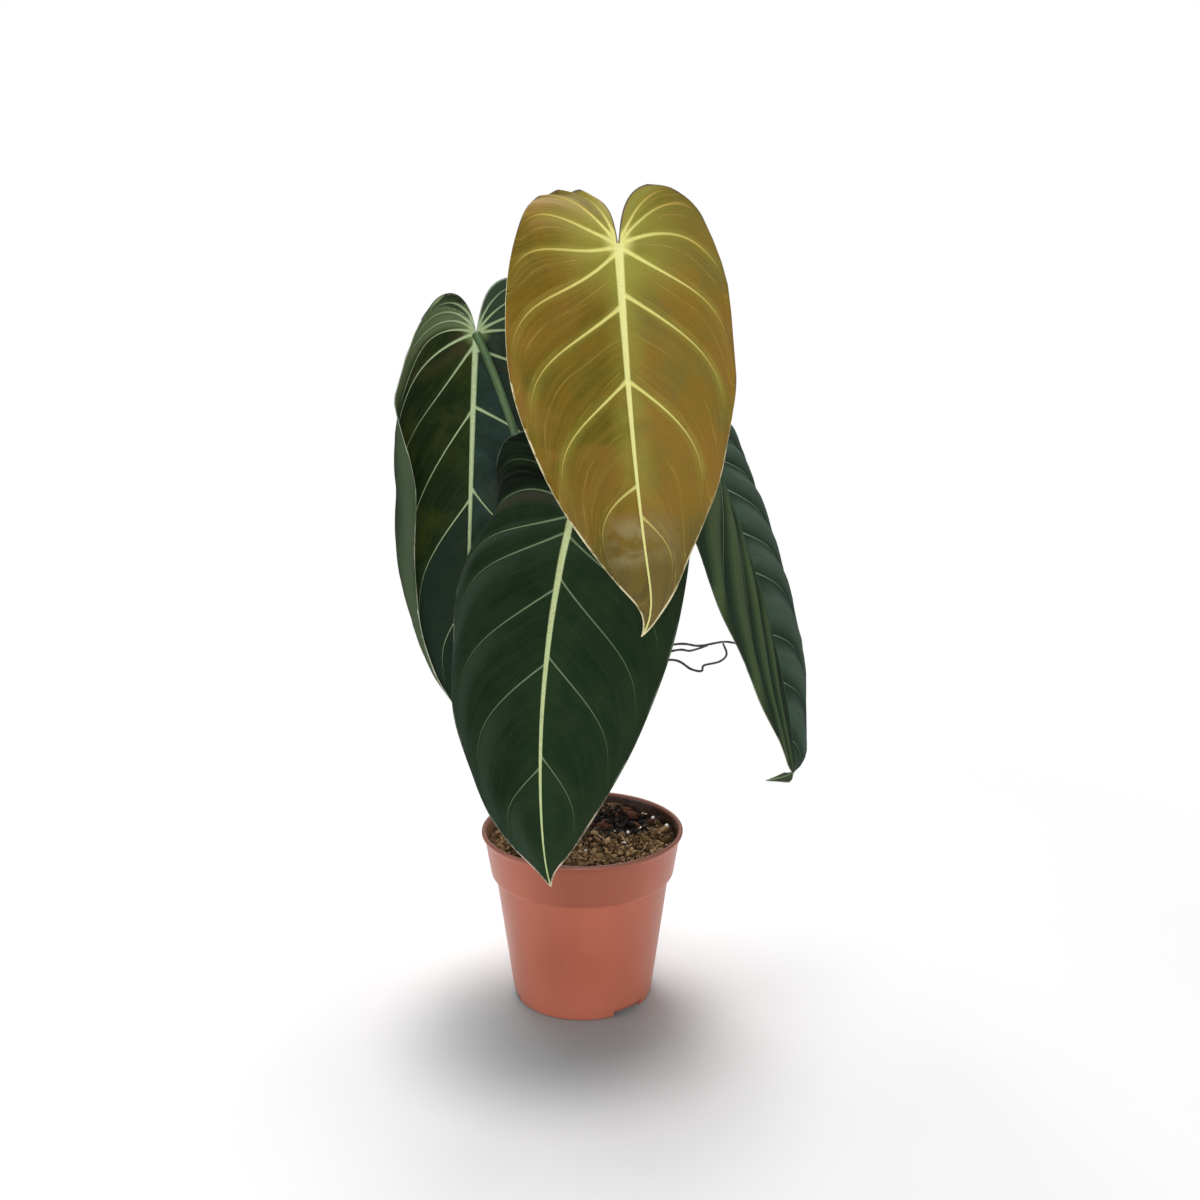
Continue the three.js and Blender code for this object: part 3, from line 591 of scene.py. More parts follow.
# Both halves and both skins in one closed mesh: the halves share the midrib, and a rim joins the skins.
def blade(name, leaf, materials):
    skins, facts, blocks = [], {}, []
    offset = 0
    kinds = []
    for side in (1, -1):
        upper, lower, own = halfBlade(leaf, side)
        rows, columns = upper.shape[:2]
        size = rows * columns
        for skin, flip in ((upper, side < 0), (lower, side > 0)):
            blocks.append(gridFaces(rows, columns, start=offset, flip=flip))
            kinds.append(np.full(len(blocks[-1]), int(skin is lower)))
            skins.append(skin.reshape(-1, 3))
            for key, values in own.items():
                facts.setdefault(key, []).append(values.ravel())
            offset += size
        base = offset - 2 * size
        rim = np.concatenate([np.arange(columns), np.arange(rows) * columns + columns - 1])
        rim = rim[np.concatenate([[True], np.diff(rim) != 0])] + base
        ring = np.stack([rim[:-1], rim[1:], rim[1:] + size, rim[:-1] + size], 1)
        blocks.append(ring if side > 0 else ring[:, ::-1])
        kinds.append(np.zeros(len(ring), int))
    points = np.concatenate(skins)
    first, same = np.unique(np.round(points, 4), axis=0, return_index=True, return_inverse=True)[1:]
    faces = same.ravel()[np.concatenate(blocks)]
    kinds = np.concatenate(kinds)
    whole, triangles = withoutRepeats(faces)
    repeats = (faces == np.roll(faces, -1, axis=1)).sum(1)
    faceKinds = np.concatenate([kinds[repeats == 0], kinds[repeats == 1]])
    facts = {key: np.concatenate(values)[first] for key, values in facts.items()}
    meshPiece("leaf_" + name, points[first], [whole, triangles], materials, replaces=["blade_" + name],
              attributes=facts, faceMaterial=faceKinds)


# Leaf materials

# Fine and faint lines between two main veins: how many, how far they wander as a share of the way between two
# of them, and from which to which distance in millimetres they fade.
thinLines = [{"count": 2, "sway": 0.5, "width": (0.05, 0.6)}, {"count": 9, "sway": 1.6, "width": (0.05, 0.5)}]


# Masks of a blade's veins, from the distances in millimetres that its points carry. The midrib narrows with
# a power of the way left to the tip, and a main vein is widest where it leaves the midrib. A pleat is the
# strip halfway between two main veins, and below is the strip just past one.
def leafVeinGroup():
    widths = {"Midrib Width": 4.0, "Midrib Power": 1.5, "Vein Width": 1.4, "Edge Width": 0.5}
    masks = ["Midrib", "Main", "Fine", "Faint", "Edge", "Halo", "Hub", "Streaks", "Pleat", "Below"]
    group, into, out = newGroup("leafVeins", widths, masks)
    midGap, mainGap, edgeGap = [attribute(group, key) for key in ("midGap", "mainGap", "edgeGap")]
    phase, pitch, v = [attribute(group, key) for key in ("veinPhase", "veinPitch", "veinShare")]
    rest = calc(group, "MAXIMUM", calc(group, "SUBTRACT", 1.0, attribute(group, "along")), 0.0)
    taper = calc(group, "MULTIPLY_ADD", calc(group, "POWER", rest, into.outputs["Midrib Power"]), 0.42, 0.08)
    ribHalf = times(group, taper, into.outputs["Midrib Width"])
    rib = ramped(group, calc(group, "DIVIDE", midGap, ribHalf), 0.7, 1.25, 1.0, 0.0)
    root = calc(group, "POWER", calc(group, "MAXIMUM", calc(group, "SUBTRACT", 1.0, v), 0.0), 8.0)
    taper = calc(group, "MULTIPLY_ADD", root, 0.35, calc(group, "MULTIPLY_ADD", v, -0.36, 0.5))
    taper = times(group, taper, calc(group, "MULTIPLY_ADD", rest, 0.65, 0.35))
    veinHalf = times(group, taper, into.outputs["Vein Width"])
    fading = ramped(group, v, 0.62, 0.98, 1.0, 0.0)
    vein = ramped(group, calc(group, "DIVIDE", mainGap, veinHalf), 0.35, 1.45, 1.0, 0.0)
    half = attribute(group, "halfSide")
    place = vector(group, phase, times(group, v, 2.4), times(group, half, 3.0))
    wobble = noise(group, 1.0, 1.0, place=place)
    patchy = noise(group, 2.3, 2.0, place=place)
    lines = []
    for kind in thinLines:
        spot = calc(group, "MULTIPLY_ADD", wobble, kind["sway"], times(group, phase, kind["count"]))
        part = calc(group, "FRACT", spot)
        off = calc(group, "SUBTRACT", 0.5, calc(group, "ABSOLUTE", calc(group, "SUBTRACT", part, 0.5)))
        gap = times(group, calc(group, "DIVIDE", off, kind["count"]), pitch)
        line = ramped(group, gap, *kind["width"], 1.0, 0.0)
        line = times(group, line, ramped(group, midGap, 1.0, 5.0))
        lines.append(times(group, line, ramped(group, patchy, 0.3, 0.65)))
    place = vector(group, times(group, phase, 9.0), times(group, v, 1.6), half)
    streaks = noise(group, 1.0, 4.0, place=place)
    nearRib = ramped(group, midGap, 1.0, 14.0, 1.0, 0.0)
    nearVein = times(group, ramped(group, mainGap, 0.5, 5.0, 0.7, 0.0), fading)
    edgeShare = calc(group, "DIVIDE", edgeGap, into.outputs["Edge Width"])
    part = calc(group, "FRACT", phase)
    middle = calc(group, "ABSOLUTE", calc(group, "SUBTRACT", part, 0.5))
    below = times(group, ramped(group, part, 0.0, 0.06), ramped(group, part, 0.1, 0.5, 1.0, 0.0))
    results = [rib, times(group, vein, fading), *lines, ramped(group, edgeShare, 0.6, 1.3, 1.0, 0.0),
               calc(group, "MAXIMUM", nearRib, nearVein),
               ramped(group, attribute(group, "hubGap"), 2.0, 10.0, 1.0, 0.0), streaks,
               ramped(group, middle, 0.12, 0.5, 1.0, 0.0), below]
    for mask, value in zip(masks, results):
        group.links.new(value, out.inputs[mask])
    return group


leafVeins = leafVeinGroup()


# Where tones begin and end: in veins counted from the sinus (phase), in millimetres from the hub, the midrib
# or the margin, or in shares of the blade's length.
leafZones = {
    "shadedFrom": (4.0, 4.1), "firstPleatEnd": (4.9, 5.0), "laterPleats": (5.0, 5.1), "bandLightShade": (0.15, 0.5),
    "dimPhase": (0.95, 1.25), "dimEnd": (1.65, 2.0), "dimHub": (9.0, 20.0), "sinusEnd": (0.55, 1.05),
    "sheenPatchAt": 0.76, "sheenPatchReach": (0.02, 0.08), "sheenPatchMidrib": (8.0, 24.0),
    "haloEnd": (0.5, 0.78), "veinEnd": (0.5, 0.8), "veinFar": (0.05, 0.7), "edgePhase": (0.9, 1.1),
}
# What a look has where it says nothing else: no lobes of their own, and lines of full strength everywhere.
commonLook = {"lobeFrom": (0.0, 0.01), "lobeVein": 1.0, "veinTip": 1.0, "haloTip": 1.0, "sinusEdge": 1.0,
              "fleckShare": 0.25}


# A blade skin, laid from the bottom up: a mottled ground with its own tones on lobes, far end and tip,
# painted light on the pleats' crests, painted shade and light in the strips just past the veins, tones at hub
# and sinus, streaks along the veins, painted sheen along the margin and in patches before the tip, and a halo
# about the veins, then the lines. Main veins can be weaker near the tip or on the lobes, and the edge line
# along the sinus.
def leafMaterial(name, look):
    material, tree, shader = newMaterial(name)
    look, zones = {**commonLook, **look}, leafZones
    veins = placed(tree, leafVeins, Midrib_Width=look["midribWidth"], Midrib_Power=look["midribPower"],
                   Vein_Width=look["veinWidth"], Edge_Width=look["edgeWidth"])
    side = ramped(tree, attribute(tree, "halfSide"), -1.0, 1.0)
    along, phase, edgeGap = [attribute(tree, key) for key in ("along", "veinPhase", "edgeGap")]
    hubGap, midGap, outwards = [attribute(tree, key) for key in ("hubGap", "midGap", "veinShare")]

    # The right half's value, or the left half's own where the look has one.
    def halves(key):
        return mixed(tree, side, look.get(key + "Left", look[key]), look[key])

    def laid(base, mask, key):
        return mixed(tree, times(tree, mask, look[key + "Share"]), base, halves(key)) if key in look else base

    def until(value, zone):
        return ramped(tree, value, *zone, 1.0, 0.0)

    mottle = ramped(tree, noise(tree, 38, 5, 0.6, distortion=0.5), 0.36, 0.62)
    ground = mixed(tree, mottle, halves("ground"), halves("other"))
    if "warm" in look:
        ground = laid(ground, ramped(tree, noise(tree, 15, 3, 0.5, distortion=0.8), 0.45, 0.64), "warm")
    if "lobe" in look:
        ground = laid(ground, until(phase, look["lobeFrom"]), "lobe")
    if "far" in look:
        ground = laid(ground, ramped(tree, phase, *look["farFrom"]), "far")
    if "tip" in look:
        ground = laid(ground, ramped(tree, along, *look["tipFrom"]), "tip")
    # Painted light on the crest of each pleat.
    ground = laid(ground, veins["Pleat"], "crest")
    # Painted shade just past the fourth vein from the sinus; past later veins a band of painted light and
    # shade.
    if "bandLightShade" in look:
        band = times(tree, veins["Below"], ramped(tree, phase, *zones["shadedFrom"]))
        sides = ramped(tree, side, 0.0, 1.0, 1.0, look["shadeRight"])
        first = times(tree, until(phase, zones["firstPleatEnd"]), sides)
        ground = laid(ground, times(tree, band, first), "shade")
        later = times(tree, ramped(tree, phase, *zones["laterPleats"]), sides)
        later = times(tree, later, ramped(tree, outwards, *zones["bandLightShade"], 0.2, 1.0))
        ground = laid(ground, times(tree, band, later), "bandLightShade")
    if "around" in look:
        ragged = ramped(tree, noise(tree, 34, 3, 0.55), 0.25, 0.6, 0.55, 1.0)
        ground = laid(ground, times(tree, until(hubGap, look["aroundFrom"]), ragged), "around")
    if "sinus" in look:
        dim = times(tree, ramped(tree, phase, *zones["dimPhase"]), until(phase, zones["dimEnd"]))
        dim = times(tree, dim, ramped(tree, hubGap, *zones["dimHub"]))
        dim = times(tree, dim, ramped(tree, side, 0.0, 1.0, 1.0, 0.3))
        ground = laid(ground, dim, "dim")
        ground = laid(ground, until(phase, zones["sinusEnd"]), "sinus")
    streaky = ramped(tree, veins["Streaks"], 0.35, 0.72, 0.0, look["streakShare"])
    ground = mixed(tree, streaky, ground, look["streak"])
    # A paler band along the margin, a painted sheen, that the lobes don't have.
    if "margin" in look:
        outer = ramped(tree, edgeGap, *look["marginFrom"], look["marginShare"], 0.0)
        outer = times(tree, outer, ramped(tree, phase, *look["lobeFrom"]))
        ground = mixed(tree, outer, ground, halves("margin"))
    # Painted sheen: pale patches about three quarters of the way to the tip, near the midrib, mostly on the
    # left half.
    if "sheenPatch" in look:
        away = calc(tree, "ABSOLUTE", calc(tree, "SUBTRACT", along, zones["sheenPatchAt"]))
        sheenPatch = times(tree, until(away, zones["sheenPatchReach"]), until(midGap, zones["sheenPatchMidrib"]))
        sheenPatch = times(tree, sheenPatch, ramped(tree, side, 0.4, 0.6, 1.0, 0.3))
        sheenPatch = times(tree, sheenPatch, ramped(tree, noise(tree, 60, 2, distortion=1.0), 0.3, 0.55))
        ground = laid(ground, sheenPatch, "sheenPatch")
    tipHalo = ramped(tree, along, *zones["haloEnd"], 1.0, look["haloTip"])
    uneven = ramped(tree, noise(tree, 48, 4, 0.6, distortion=0.6), 0.3, 0.62, 0.35, 1.0)
    ground = laid(ground, times(tree, times(tree, veins["Halo"], tipHalo), uneven), "halo")
    ground = laid(ground, veins["Hub"], "hub")

    fleck = ramped(tree, noise(tree, 500, 3, 0.6), 0.5, 0.75, 0.0, look["fleckShare"])
    midrib = mixed(tree, fleck, look["midrib"], look["halo"])
    further = ramped(tree, outwards, *zones["veinFar"])
    vein = mixed(tree, further, look["vein"], look.get("veinFar", look["vein"]))
    begins = axesOf(tree, mixed(tree, side, look.get("edgeFromLeft", look["edgeFrom"]), look["edgeFrom"]))
    pale = put(tree, "MapRange", {"Value": along, "From Min": begins["X"], "From Max": begins["Y"]})
    edge = mixed(tree, pale.outputs[0], look["edgeLobe"], look["edge"])
    lobeVein = ramped(tree, phase, *look["lobeFrom"], look["lobeVein"], 1.0)
    tipVein = ramped(tree, along, *zones["veinEnd"], 1.0, look["veinTip"])
    onSinus = ramped(tree, phase, *zones["edgePhase"], look["sinusEdge"], 1.0)
    lines = ((veins["Faint"], look["faintShare"], look["fine"]),
             (veins["Fine"], look["fineShare"], look["fine"]),
             (times(tree, veins["Main"], times(tree, tipVein, lobeVein)), look["veinShare"], vein),
             (veins["Midrib"], 1.0, midrib),
             (times(tree, veins["Edge"], onSinus), look["edgeShare"], edge))
    colour = ground
    for mask, share, tone in lines:
        colour = mixed(tree, times(tree, mask, share), colour, tone)
    grain = noise(tree, 900, 3, 0.6)
    colour = mixed(tree, ramped(tree, grain, 0.2, 0.8, 0.0, look["grain"]), colour, (0, 0, 0))
    height = calc(tree, "MULTIPLY_ADD", veins["Faint"], -0.25, grain)
    height = calc(tree, "MULTIPLY_ADD", veins["Fine"], -0.4, height)
    rough = ramped(tree, noise(tree, 60, 3), 0.3, 0.7, look["rough"] - 0.05, look["rough"] + 0.05)
    finishMaterial(tree, shader, colour, rough, height, look["bump"], 0.0004, **look["constants"])
    return material


# Colours are linear. A key that ends in Left is the left half's own, one in Share says how much of a tone
# shows, and one in From where it begins and where it is full.
velvet = {"Sheen_Weight": 0.02, "Sheen_Roughness": 0.45, "Specular_IOR_Level": 0.06}
satin = {"Sheen_Weight": 0.02, "Sheen_Roughness": 0.5, "Specular_IOR_Level": 0.12}
leafLooks = {
    "goldUpper": {
        "ground": (0.25, 0.152, 0.018), "groundLeft": (0.185, 0.108, 0.006), "other": (0.19, 0.15, 0.03),
        "otherLeft": (0.13, 0.1, 0.007), "warm": (0.29, 0.15, 0.026), "warmShare": 0.75,
        "lobe": (0.21, 0.165, 0.03), "lobeLeft": (0.265, 0.15, 0.008), "lobeFrom": (2.2, 3.6),
        "lobeShare": 0.7,
        "around": (0.32, 0.31, 0.045), "aroundFrom": (8.0, 46.0), "aroundShare": 0.85,
        "dim": (0.085, 0.068, 0.006), "dimShare": 0.75, "sinus": (0.33, 0.32, 0.07), "sinusShare": 0.6,
        "tip": (0.105, 0.085, 0.026), "tipFrom": (0.66, 0.88), "tipShare": 0.85,
        "streak": (0.28, 0.19, 0.025), "streakShare": 0.35, "halo": (0.33, 0.33, 0.05), "haloShare": 0.6,
        "haloTip": 0.0, "veinTip": 0.5,
        # The pale patches near the tip are a painted sheen.
        "sheenPatch": (0.42, 0.37, 0.2), "sheenPatchShare": 0.5, "hub": (0.8, 0.8, 0.26), "hubShare": 0.85,
        "fine": (0.46, 0.33, 0.06), "fineShare": 0.36, "faintShare": 0.1, "vein": (0.82, 0.78, 0.24),
        "veinFar": (0.6, 0.44, 0.1), "veinShare": 0.95, "midrib": (0.86, 0.84, 0.32), "fleckShare": 0.1,
        "edge": (0.85, 0.78, 0.5), "edgeLobe": (0.14, 0.1, 0.09), "edgeFrom": (0.38, 0.46, 0),
        "edgeFromLeft": (0.04, 0.12, 0), "edgeShare": 0.9,
        "midribWidth": 4.9, "midribPower": 1.7, "veinWidth": 2.0, "edgeWidth": 0.85, "grain": 0.12,
        "rough": 0.5, "bump": 0.2, "constants": satin,
    },
    "goldUnder": {
        "ground": (0.3, 0.17, 0.08), "other": (0.25, 0.18, 0.08),
        "streak": (0.34, 0.22, 0.11), "streakShare": 0.5, "halo": (0.34, 0.3, 0.12), "haloShare": 0.5,
        "hub": (0.5, 0.45, 0.2), "hubShare": 0.5, "fine": (0.42, 0.33, 0.17), "fineShare": 0.4,
        "faintShare": 0.2, "vein": (0.5, 0.45, 0.2), "veinShare": 0.9, "midrib": (0.58, 0.56, 0.24),
        "edge": (0.6, 0.5, 0.3), "edgeLobe": (0.3, 0.2, 0.14), "edgeFrom": (0.2, 0.4, 0), "edgeShare": 0.8,
        "midribWidth": 5.2, "midribPower": 1.5, "veinWidth": 2.2, "edgeWidth": 0.6, "grain": 0.1,
        "rough": 0.55, "bump": 0.25, "constants": satin,
    },
    "frontUpper": {
        "ground": (0.009, 0.026, 0.009), "groundLeft": (0.006, 0.018, 0.006), "other": (0.018, 0.037, 0.014),
        # The lobes' darker tones, near black on the left half, are painted shade under the gold leaf.
        "otherLeft": (0.011, 0.027, 0.01), "lobe": (0.009, 0.019, 0.008),
        "lobeLeft": (0.002, 0.004, 0.002), "lobeFrom": (3.9, 4.02), "lobeShare": 0.92, "lobeVein": 0.4,
        # The brownish and grey-green band tones are painted shade and painted light in the strips just past
        # the veins.
        "shade": (0.05, 0.043, 0.03), "shadeShare": 0.75, "bandLightShade": (0.042, 0.064, 0.04), "bandLightShadeShare": 0.6,
        "streak": (0.026, 0.046, 0.02), "streakShare": 0.3, "halo": (0.02, 0.046, 0.014), "haloShare": 0.45,
        # The margin tones are a painted sheen along the margin.
        "margin": (0.022, 0.035, 0.015), "marginLeft": (0.03, 0.052, 0.034), "marginFrom": (2.0, 16.0),
        "marginShare": 0.6, "hub": (0.22, 0.29, 0.13), "hubShare": 0.35,
        "fine": (0.06, 0.09, 0.05), "fineShare": 0.14, "faintShare": 0.03, "vein": (0.2, 0.265, 0.15),
        "veinFar": (0.14, 0.19, 0.115), "veinShare": 0.9, "midrib": (0.58, 0.68, 0.34), "shadeRight": 0.15,
        "edge": (0.68, 0.56, 0.42), "edgeLobe": (0.14, 0.18, 0.12), "edgeFrom": (0.7, 0.8, 0),
        "edgeFromLeft": (0.84, 0.92, 0), "edgeShare": 0.95,
        "midribWidth": 4.5, "midribPower": 1.4, "veinWidth": 1.2, "edgeWidth": 0.85, "grain": 0.2,
        "rough": 0.7, "bump": 0.3, "constants": velvet,
    },
    "sideUpper": {
        "ground": (0.014, 0.036, 0.02), "groundLeft": (0.006, 0.016, 0.005), "other": (0.024, 0.05, 0.03),
        # The crest tones are painted light on the pleats' crests.
        "otherLeft": (0.013, 0.027, 0.009), "crest": (0.092, 0.14, 0.1), "crestLeft": (0.094, 0.138, 0.054),
        # The band just past each vein is painted shade on the right half and painted light on the left.
        "crestShare": 0.8, "shadeRight": 1.0, "bandLightShade": (0.012, 0.03, 0.018), "bandLightShadeShare": 0.8,
        "streak": (0.05, 0.08, 0.048), "streakShare": 0.3, "halo": (0.014, 0.032, 0.016), "haloShare": 0.35,
        "hub": (0.06, 0.09, 0.05), "hubShare": 0.2, "fine": (0.08, 0.115, 0.075), "fineShare": 0.2,
        "faintShare": 0.1, "vein": (0.24, 0.31, 0.21), "veinShare": 0.85, "midrib": (0.05, 0.09, 0.05),
        "edge": (0.36, 0.4, 0.3), "edgeLobe": (0.1, 0.14, 0.09), "edgeFrom": (0.3, 0.6, 0), "edgeShare": 0.9,
        "midribWidth": 2.4, "midribPower": 1.2, "veinWidth": 0.9, "edgeWidth": 0.75, "grain": 0.2,
        "rough": 0.64, "bump": 0.35, "constants": velvet,
    },
    "backUpper": {
        "ground": (0.018, 0.034, 0.016), "other": (0.026, 0.044, 0.022),
        "streak": (0.045, 0.065, 0.035), "streakShare": 0.4, "halo": (0.03, 0.055, 0.024), "haloShare": 0.35,
        # The pale margin band is a painted sheen.
        "margin": (0.085, 0.125, 0.066), "marginFrom": (3.0, 16.0), "marginShare": 0.9,
        "hub": (0.2, 0.27, 0.15), "hubShare": 0.3, "fine": (0.05, 0.075, 0.042), "fineShare": 0.3,
        "faintShare": 0.12, "vein": (0.19, 0.26, 0.16), "veinShare": 0.8, "midrib": (0.36, 0.43, 0.2),
        "edge": (0.6, 0.66, 0.5), "edgeLobe": (0.45, 0.52, 0.38), "edgeFrom": (0.3, 0.6, 0),
        "edgeShare": 0.95, "sinusEdge": 0.0,
        "midribWidth": 4.4, "midribPower": 1.3, "veinWidth": 1.0, "edgeWidth": 0.75, "grain": 0.2,
        "rough": 0.66, "bump": 0.3, "constants": velvet,
    },
    "velvetUnder": {
        "ground": (0.05, 0.07, 0.035), "other": (0.045, 0.065, 0.04),
        "streak": (0.06, 0.085, 0.05), "streakShare": 0.4, "halo": (0.07, 0.1, 0.05), "haloShare": 0.4,
        "hub": (0.24, 0.3, 0.16), "hubShare": 0.4, "fine": (0.11, 0.15, 0.09), "fineShare": 0.4,
        "faintShare": 0.2, "vein": (0.2, 0.26, 0.15), "veinShare": 0.85, "midrib": (0.27, 0.34, 0.17),
        "edge": (0.2, 0.2, 0.12), "edgeLobe": (0.16, 0.18, 0.1), "edgeFrom": (0.3, 0.6, 0), "edgeShare": 0.6,
        "midribWidth": 4.4, "midribPower": 1.3, "veinWidth": 1.6, "edgeWidth": 0.5, "grain": 0.15,
        "rough": 0.6, "bump": 0.3, "constants": satin,
    },
    "backUnder": {
        # The right half's olive ground is painted light that shines through the blade.
        "ground": (0.04, 0.056, 0.005), "other": (0.01, 0.026, 0.003), "lobe": (0.24, 0.32, 0.15),
        "groundLeft": (0.016, 0.04, 0.033), "otherLeft": (0.036, 0.08, 0.066), "lobeLeft": (0.06, 0.1, 0.06),
        "lobeFrom": (3.4, 4.1), "lobeShare": 0.9, "far": (0.018, 0.043, 0.034),
        "farLeft": (0.028, 0.07, 0.056), "farFrom": (7.9, 8.1), "farShare": 0.8,
        "warm": (0.085, 0.07, 0.022), "warmShare": 0.6,
        "streak": (0.04, 0.058, 0.024), "streakShare": 0.3, "halo": (0.02, 0.046, 0.006), "haloShare": 0.4,
        "hub": (0.45, 0.62, 0.24), "hubShare": 0.6, "fine": (0.06, 0.09, 0.06), "fineShare": 0.16,
        "faintShare": 0.08, "vein": (0.66, 0.82, 0.46), "veinFar": (0.5, 0.64, 0.4), "veinShare": 0.92,
        "midrib": (0.74, 0.9, 0.5), "edge": (0.6, 0.68, 0.5), "edgeLobe": (0.5, 0.58, 0.46),
        "edgeFrom": (0.3, 0.6, 0), "edgeShare": 0.95,
        "midribWidth": 3.9, "midribPower": 1.0, "veinWidth": 1.6, "edgeWidth": 0.75, "grain": 0.2,
        "rough": 0.62, "bump": 0.3, "constants": satin,
    },
}
leafSkins = {name: leafMaterial(name, look) for name, look in leafLooks.items()}
print("leaf materials ready")

blade("gold", leaves["gold"], [leafSkins["goldUpper"], leafSkins["goldUnder"]])
blade("front", leaves["front"], [leafSkins["frontUpper"], leafSkins["velvetUnder"]])
blade("back", leaves["back"], [leafSkins["backUpper"], leafSkins["backUnder"]])
blade("side", leaves["side"], [leafSkins["sideUpper"], leafSkins["velvetUnder"]])
print("leaf blades ready")


# Stem and leaf stalks

stemAt = np.array([-2, 5])
stemShape = {"bottom": 74, "top": 272, "baseRadius": 7, "topRadius": 5.6, "swell": 1, "stub": 16, "soil": 99,
             "lowestNode": 118}
# The closed leaf sheath beside the top of the stem.
sheath = {"at": [2.6, 2.4], "from": 256, "length": 52, "radius": 3.3, "lean": 1.5}
# Height of a stalk's node, its directions at both ends, its radius, and how far each direction carries.
stalks = {
    "gold": {"node": 258, "leave": [0.05, -0.35, 1], "arrive": [0.08, -0.6, 0.8],
             "radius": 2.7, "start": 60, "end": 45},
    "back": {"node": 236, "leave": [-0.3, 0.2, 1], "arrive": [-0.45, 0.45, 0.8],
             "radius": 2.5, "start": 50, "end": 45},
    "side": {"node": 190, "leave": [0.6, 0.06, 1], "arrive": [0.7, -0.1, 0.7],
             "radius": 2.4, "start": 60, "end": 40},
    "front": {"node": 152, "leave": [-0.02, -0.4, 1], "arrive": [0, -0.7, 0.7],
              "radius": 2.6, "start": 60, "end": 45},
}
stalkAside = np.array([1, 0.2, 0.1])
stalkSides = 28


def unit(direction):
    return np.array(direction, float) / np.linalg.norm(direction)


# Inside the stem, towards the side on which the stalk leaves it.
def stubStart(stalk):
    outwards = unit([*stalk["leave"][:2], 0]) * stemShape["topRadius"] * 0.85
    return outwards + [*stemAt, stalk["node"] - 6]


# From the end of the stub to the blade's underside at the junction, a hair inside both.
def stalkPath(name, count):
    stalk = stalks[name]
    point, *_, up = [part[0] for part in midribOf(leaves[name])]
    leave, into = unit(stalk["leave"]), unit(stalk["arrive"])
    start = stubStart(stalk) + leave * (stemShape["stub"] - 0.4)
    tilt = np.sqrt(1 - into @ up * (into @ up))
    end = point - up * (1.2 + stalk["radius"] * tilt)
    return cubic(start, start + leave * stalk["start"], end - into * stalk["end"], end, count)


# Green streaks along the stalk, a darker groove and small pale flecks.
def stalkMaterial(name, pale, deep, groove):
    material, tree, shader = newMaterial(name)
    around, run = attribute(tree, "around"), attribute(tree, "run")
    cosine, sine = calc(tree, "COSINE", around), calc(tree, "SINE", around)
    place = vector(tree, times(tree, cosine, 3.0), times(tree, sine, 3.0), times(tree, run, 0.05))
    streaks = noise(tree, 1.6, 5.0, place=place)
    colour = mixed(tree, ramped(tree, streaks, 0.35, 0.65), deep, pale)
    colour = mixed(tree, times(tree, ramped(tree, cosine, 0.75, 1.0), 0.7), colour, groove)
    flecks = ramped(tree, noise(tree, 1100, 2), 0.66, 0.74, 0.0, 0.5)
    colour = mixed(tree, flecks, colour, tuple(1.7 * c for c in pale))
    finishMaterial(tree, shader, colour, ramped(tree, streaks, 0.3, 0.7, 0.42, 0.58), streaks, 0.25, 0.0004,
                   Specular_IOR_Level=0.45)
    return material


stalkTones = {
    "goldStalk": {"pale": (0.34, 0.31, 0.1), "deep": (0.2, 0.17, 0.05), "groove": (0.12, 0.1, 0.03)},
    "greenStalk": {"pale": (0.16, 0.26, 0.1), "deep": (0.08, 0.15, 0.055), "groove": (0.03, 0.06, 0.024)},
    "paleStalk": {"pale": (0.14, 0.225, 0.1), "deep": (0.075, 0.14, 0.055), "groove": (0.03, 0.055, 0.02)},
}
skins = {name: stalkMaterial(name, **tones) for name, tones in stalkTones.items()}
stalkSkins = {"gold": skins["goldStalk"], "back": skins["paleStalk"], "side": skins["greenStalk"],
              "front": skins["greenStalk"]}


# A shallow groove along one side and faint ridges.
def grooved(run, turn):
    return -0.12 * np.exp(-((np.minimum(turn, 2 * np.pi - turn) / 0.35) ** 2)) + 0.012 * np.cos(7 * turn)


for name, stalk in stalks.items():
    path = stalkPath(name, 90)
    t = np.linspace(0, 1, 90)
    radius = stalk["radius"] * (1.0 - 0.1 * np.sin(np.pi * t) + 0.12 * np.exp(-(((1 - t) / 0.03) ** 2)))
    points, faces, facts = tube(path, radius, stalkSides, stalkAside, grooved)
    meshPiece("stalk_" + name, points, faces, [stalkSkins[name]], replaces=["petiole_" + name],
              attributes=facts)


stemTones = {"dark": (0.07, 0.075, 0.028), "olive": (0.16, 0.17, 0.06), "foot": (0.11, 0.07, 0.03),
             "scar": (0.09, 0.055, 0.028)}


# Olive stem, browner towards its foot and its ring scars, with lengthwise cracks.
def stemMaterial():
    material, tree, shader = newMaterial("stem")
    streaks = noise(tree, 260, 5, 0.6, stretch=(1, 1, 0.12))
    colour = mixed(tree, ramped(tree, streaks, 0.35, 0.68), stemTones["dark"], stemTones["olive"])
    low = ramped(tree, axesOf(tree, objectPlace(tree))["Z"], 0.1, 0.16, 0.85, 0.0)
    colour = mixed(tree, low, colour, stemTones["foot"])
    colour = mixed(tree, attribute(tree, "scar"), colour, stemTones["scar"])
    finishMaterial(tree, shader, colour, 0.66, streaks, 0.5, 0.0006)
    return material


# Slight flats and ridges round the stem.
def ridged(run, turn):
    return 0.02 * np.cos(3 * turn + run / 30) + 0.01 * np.cos(11 * turn)


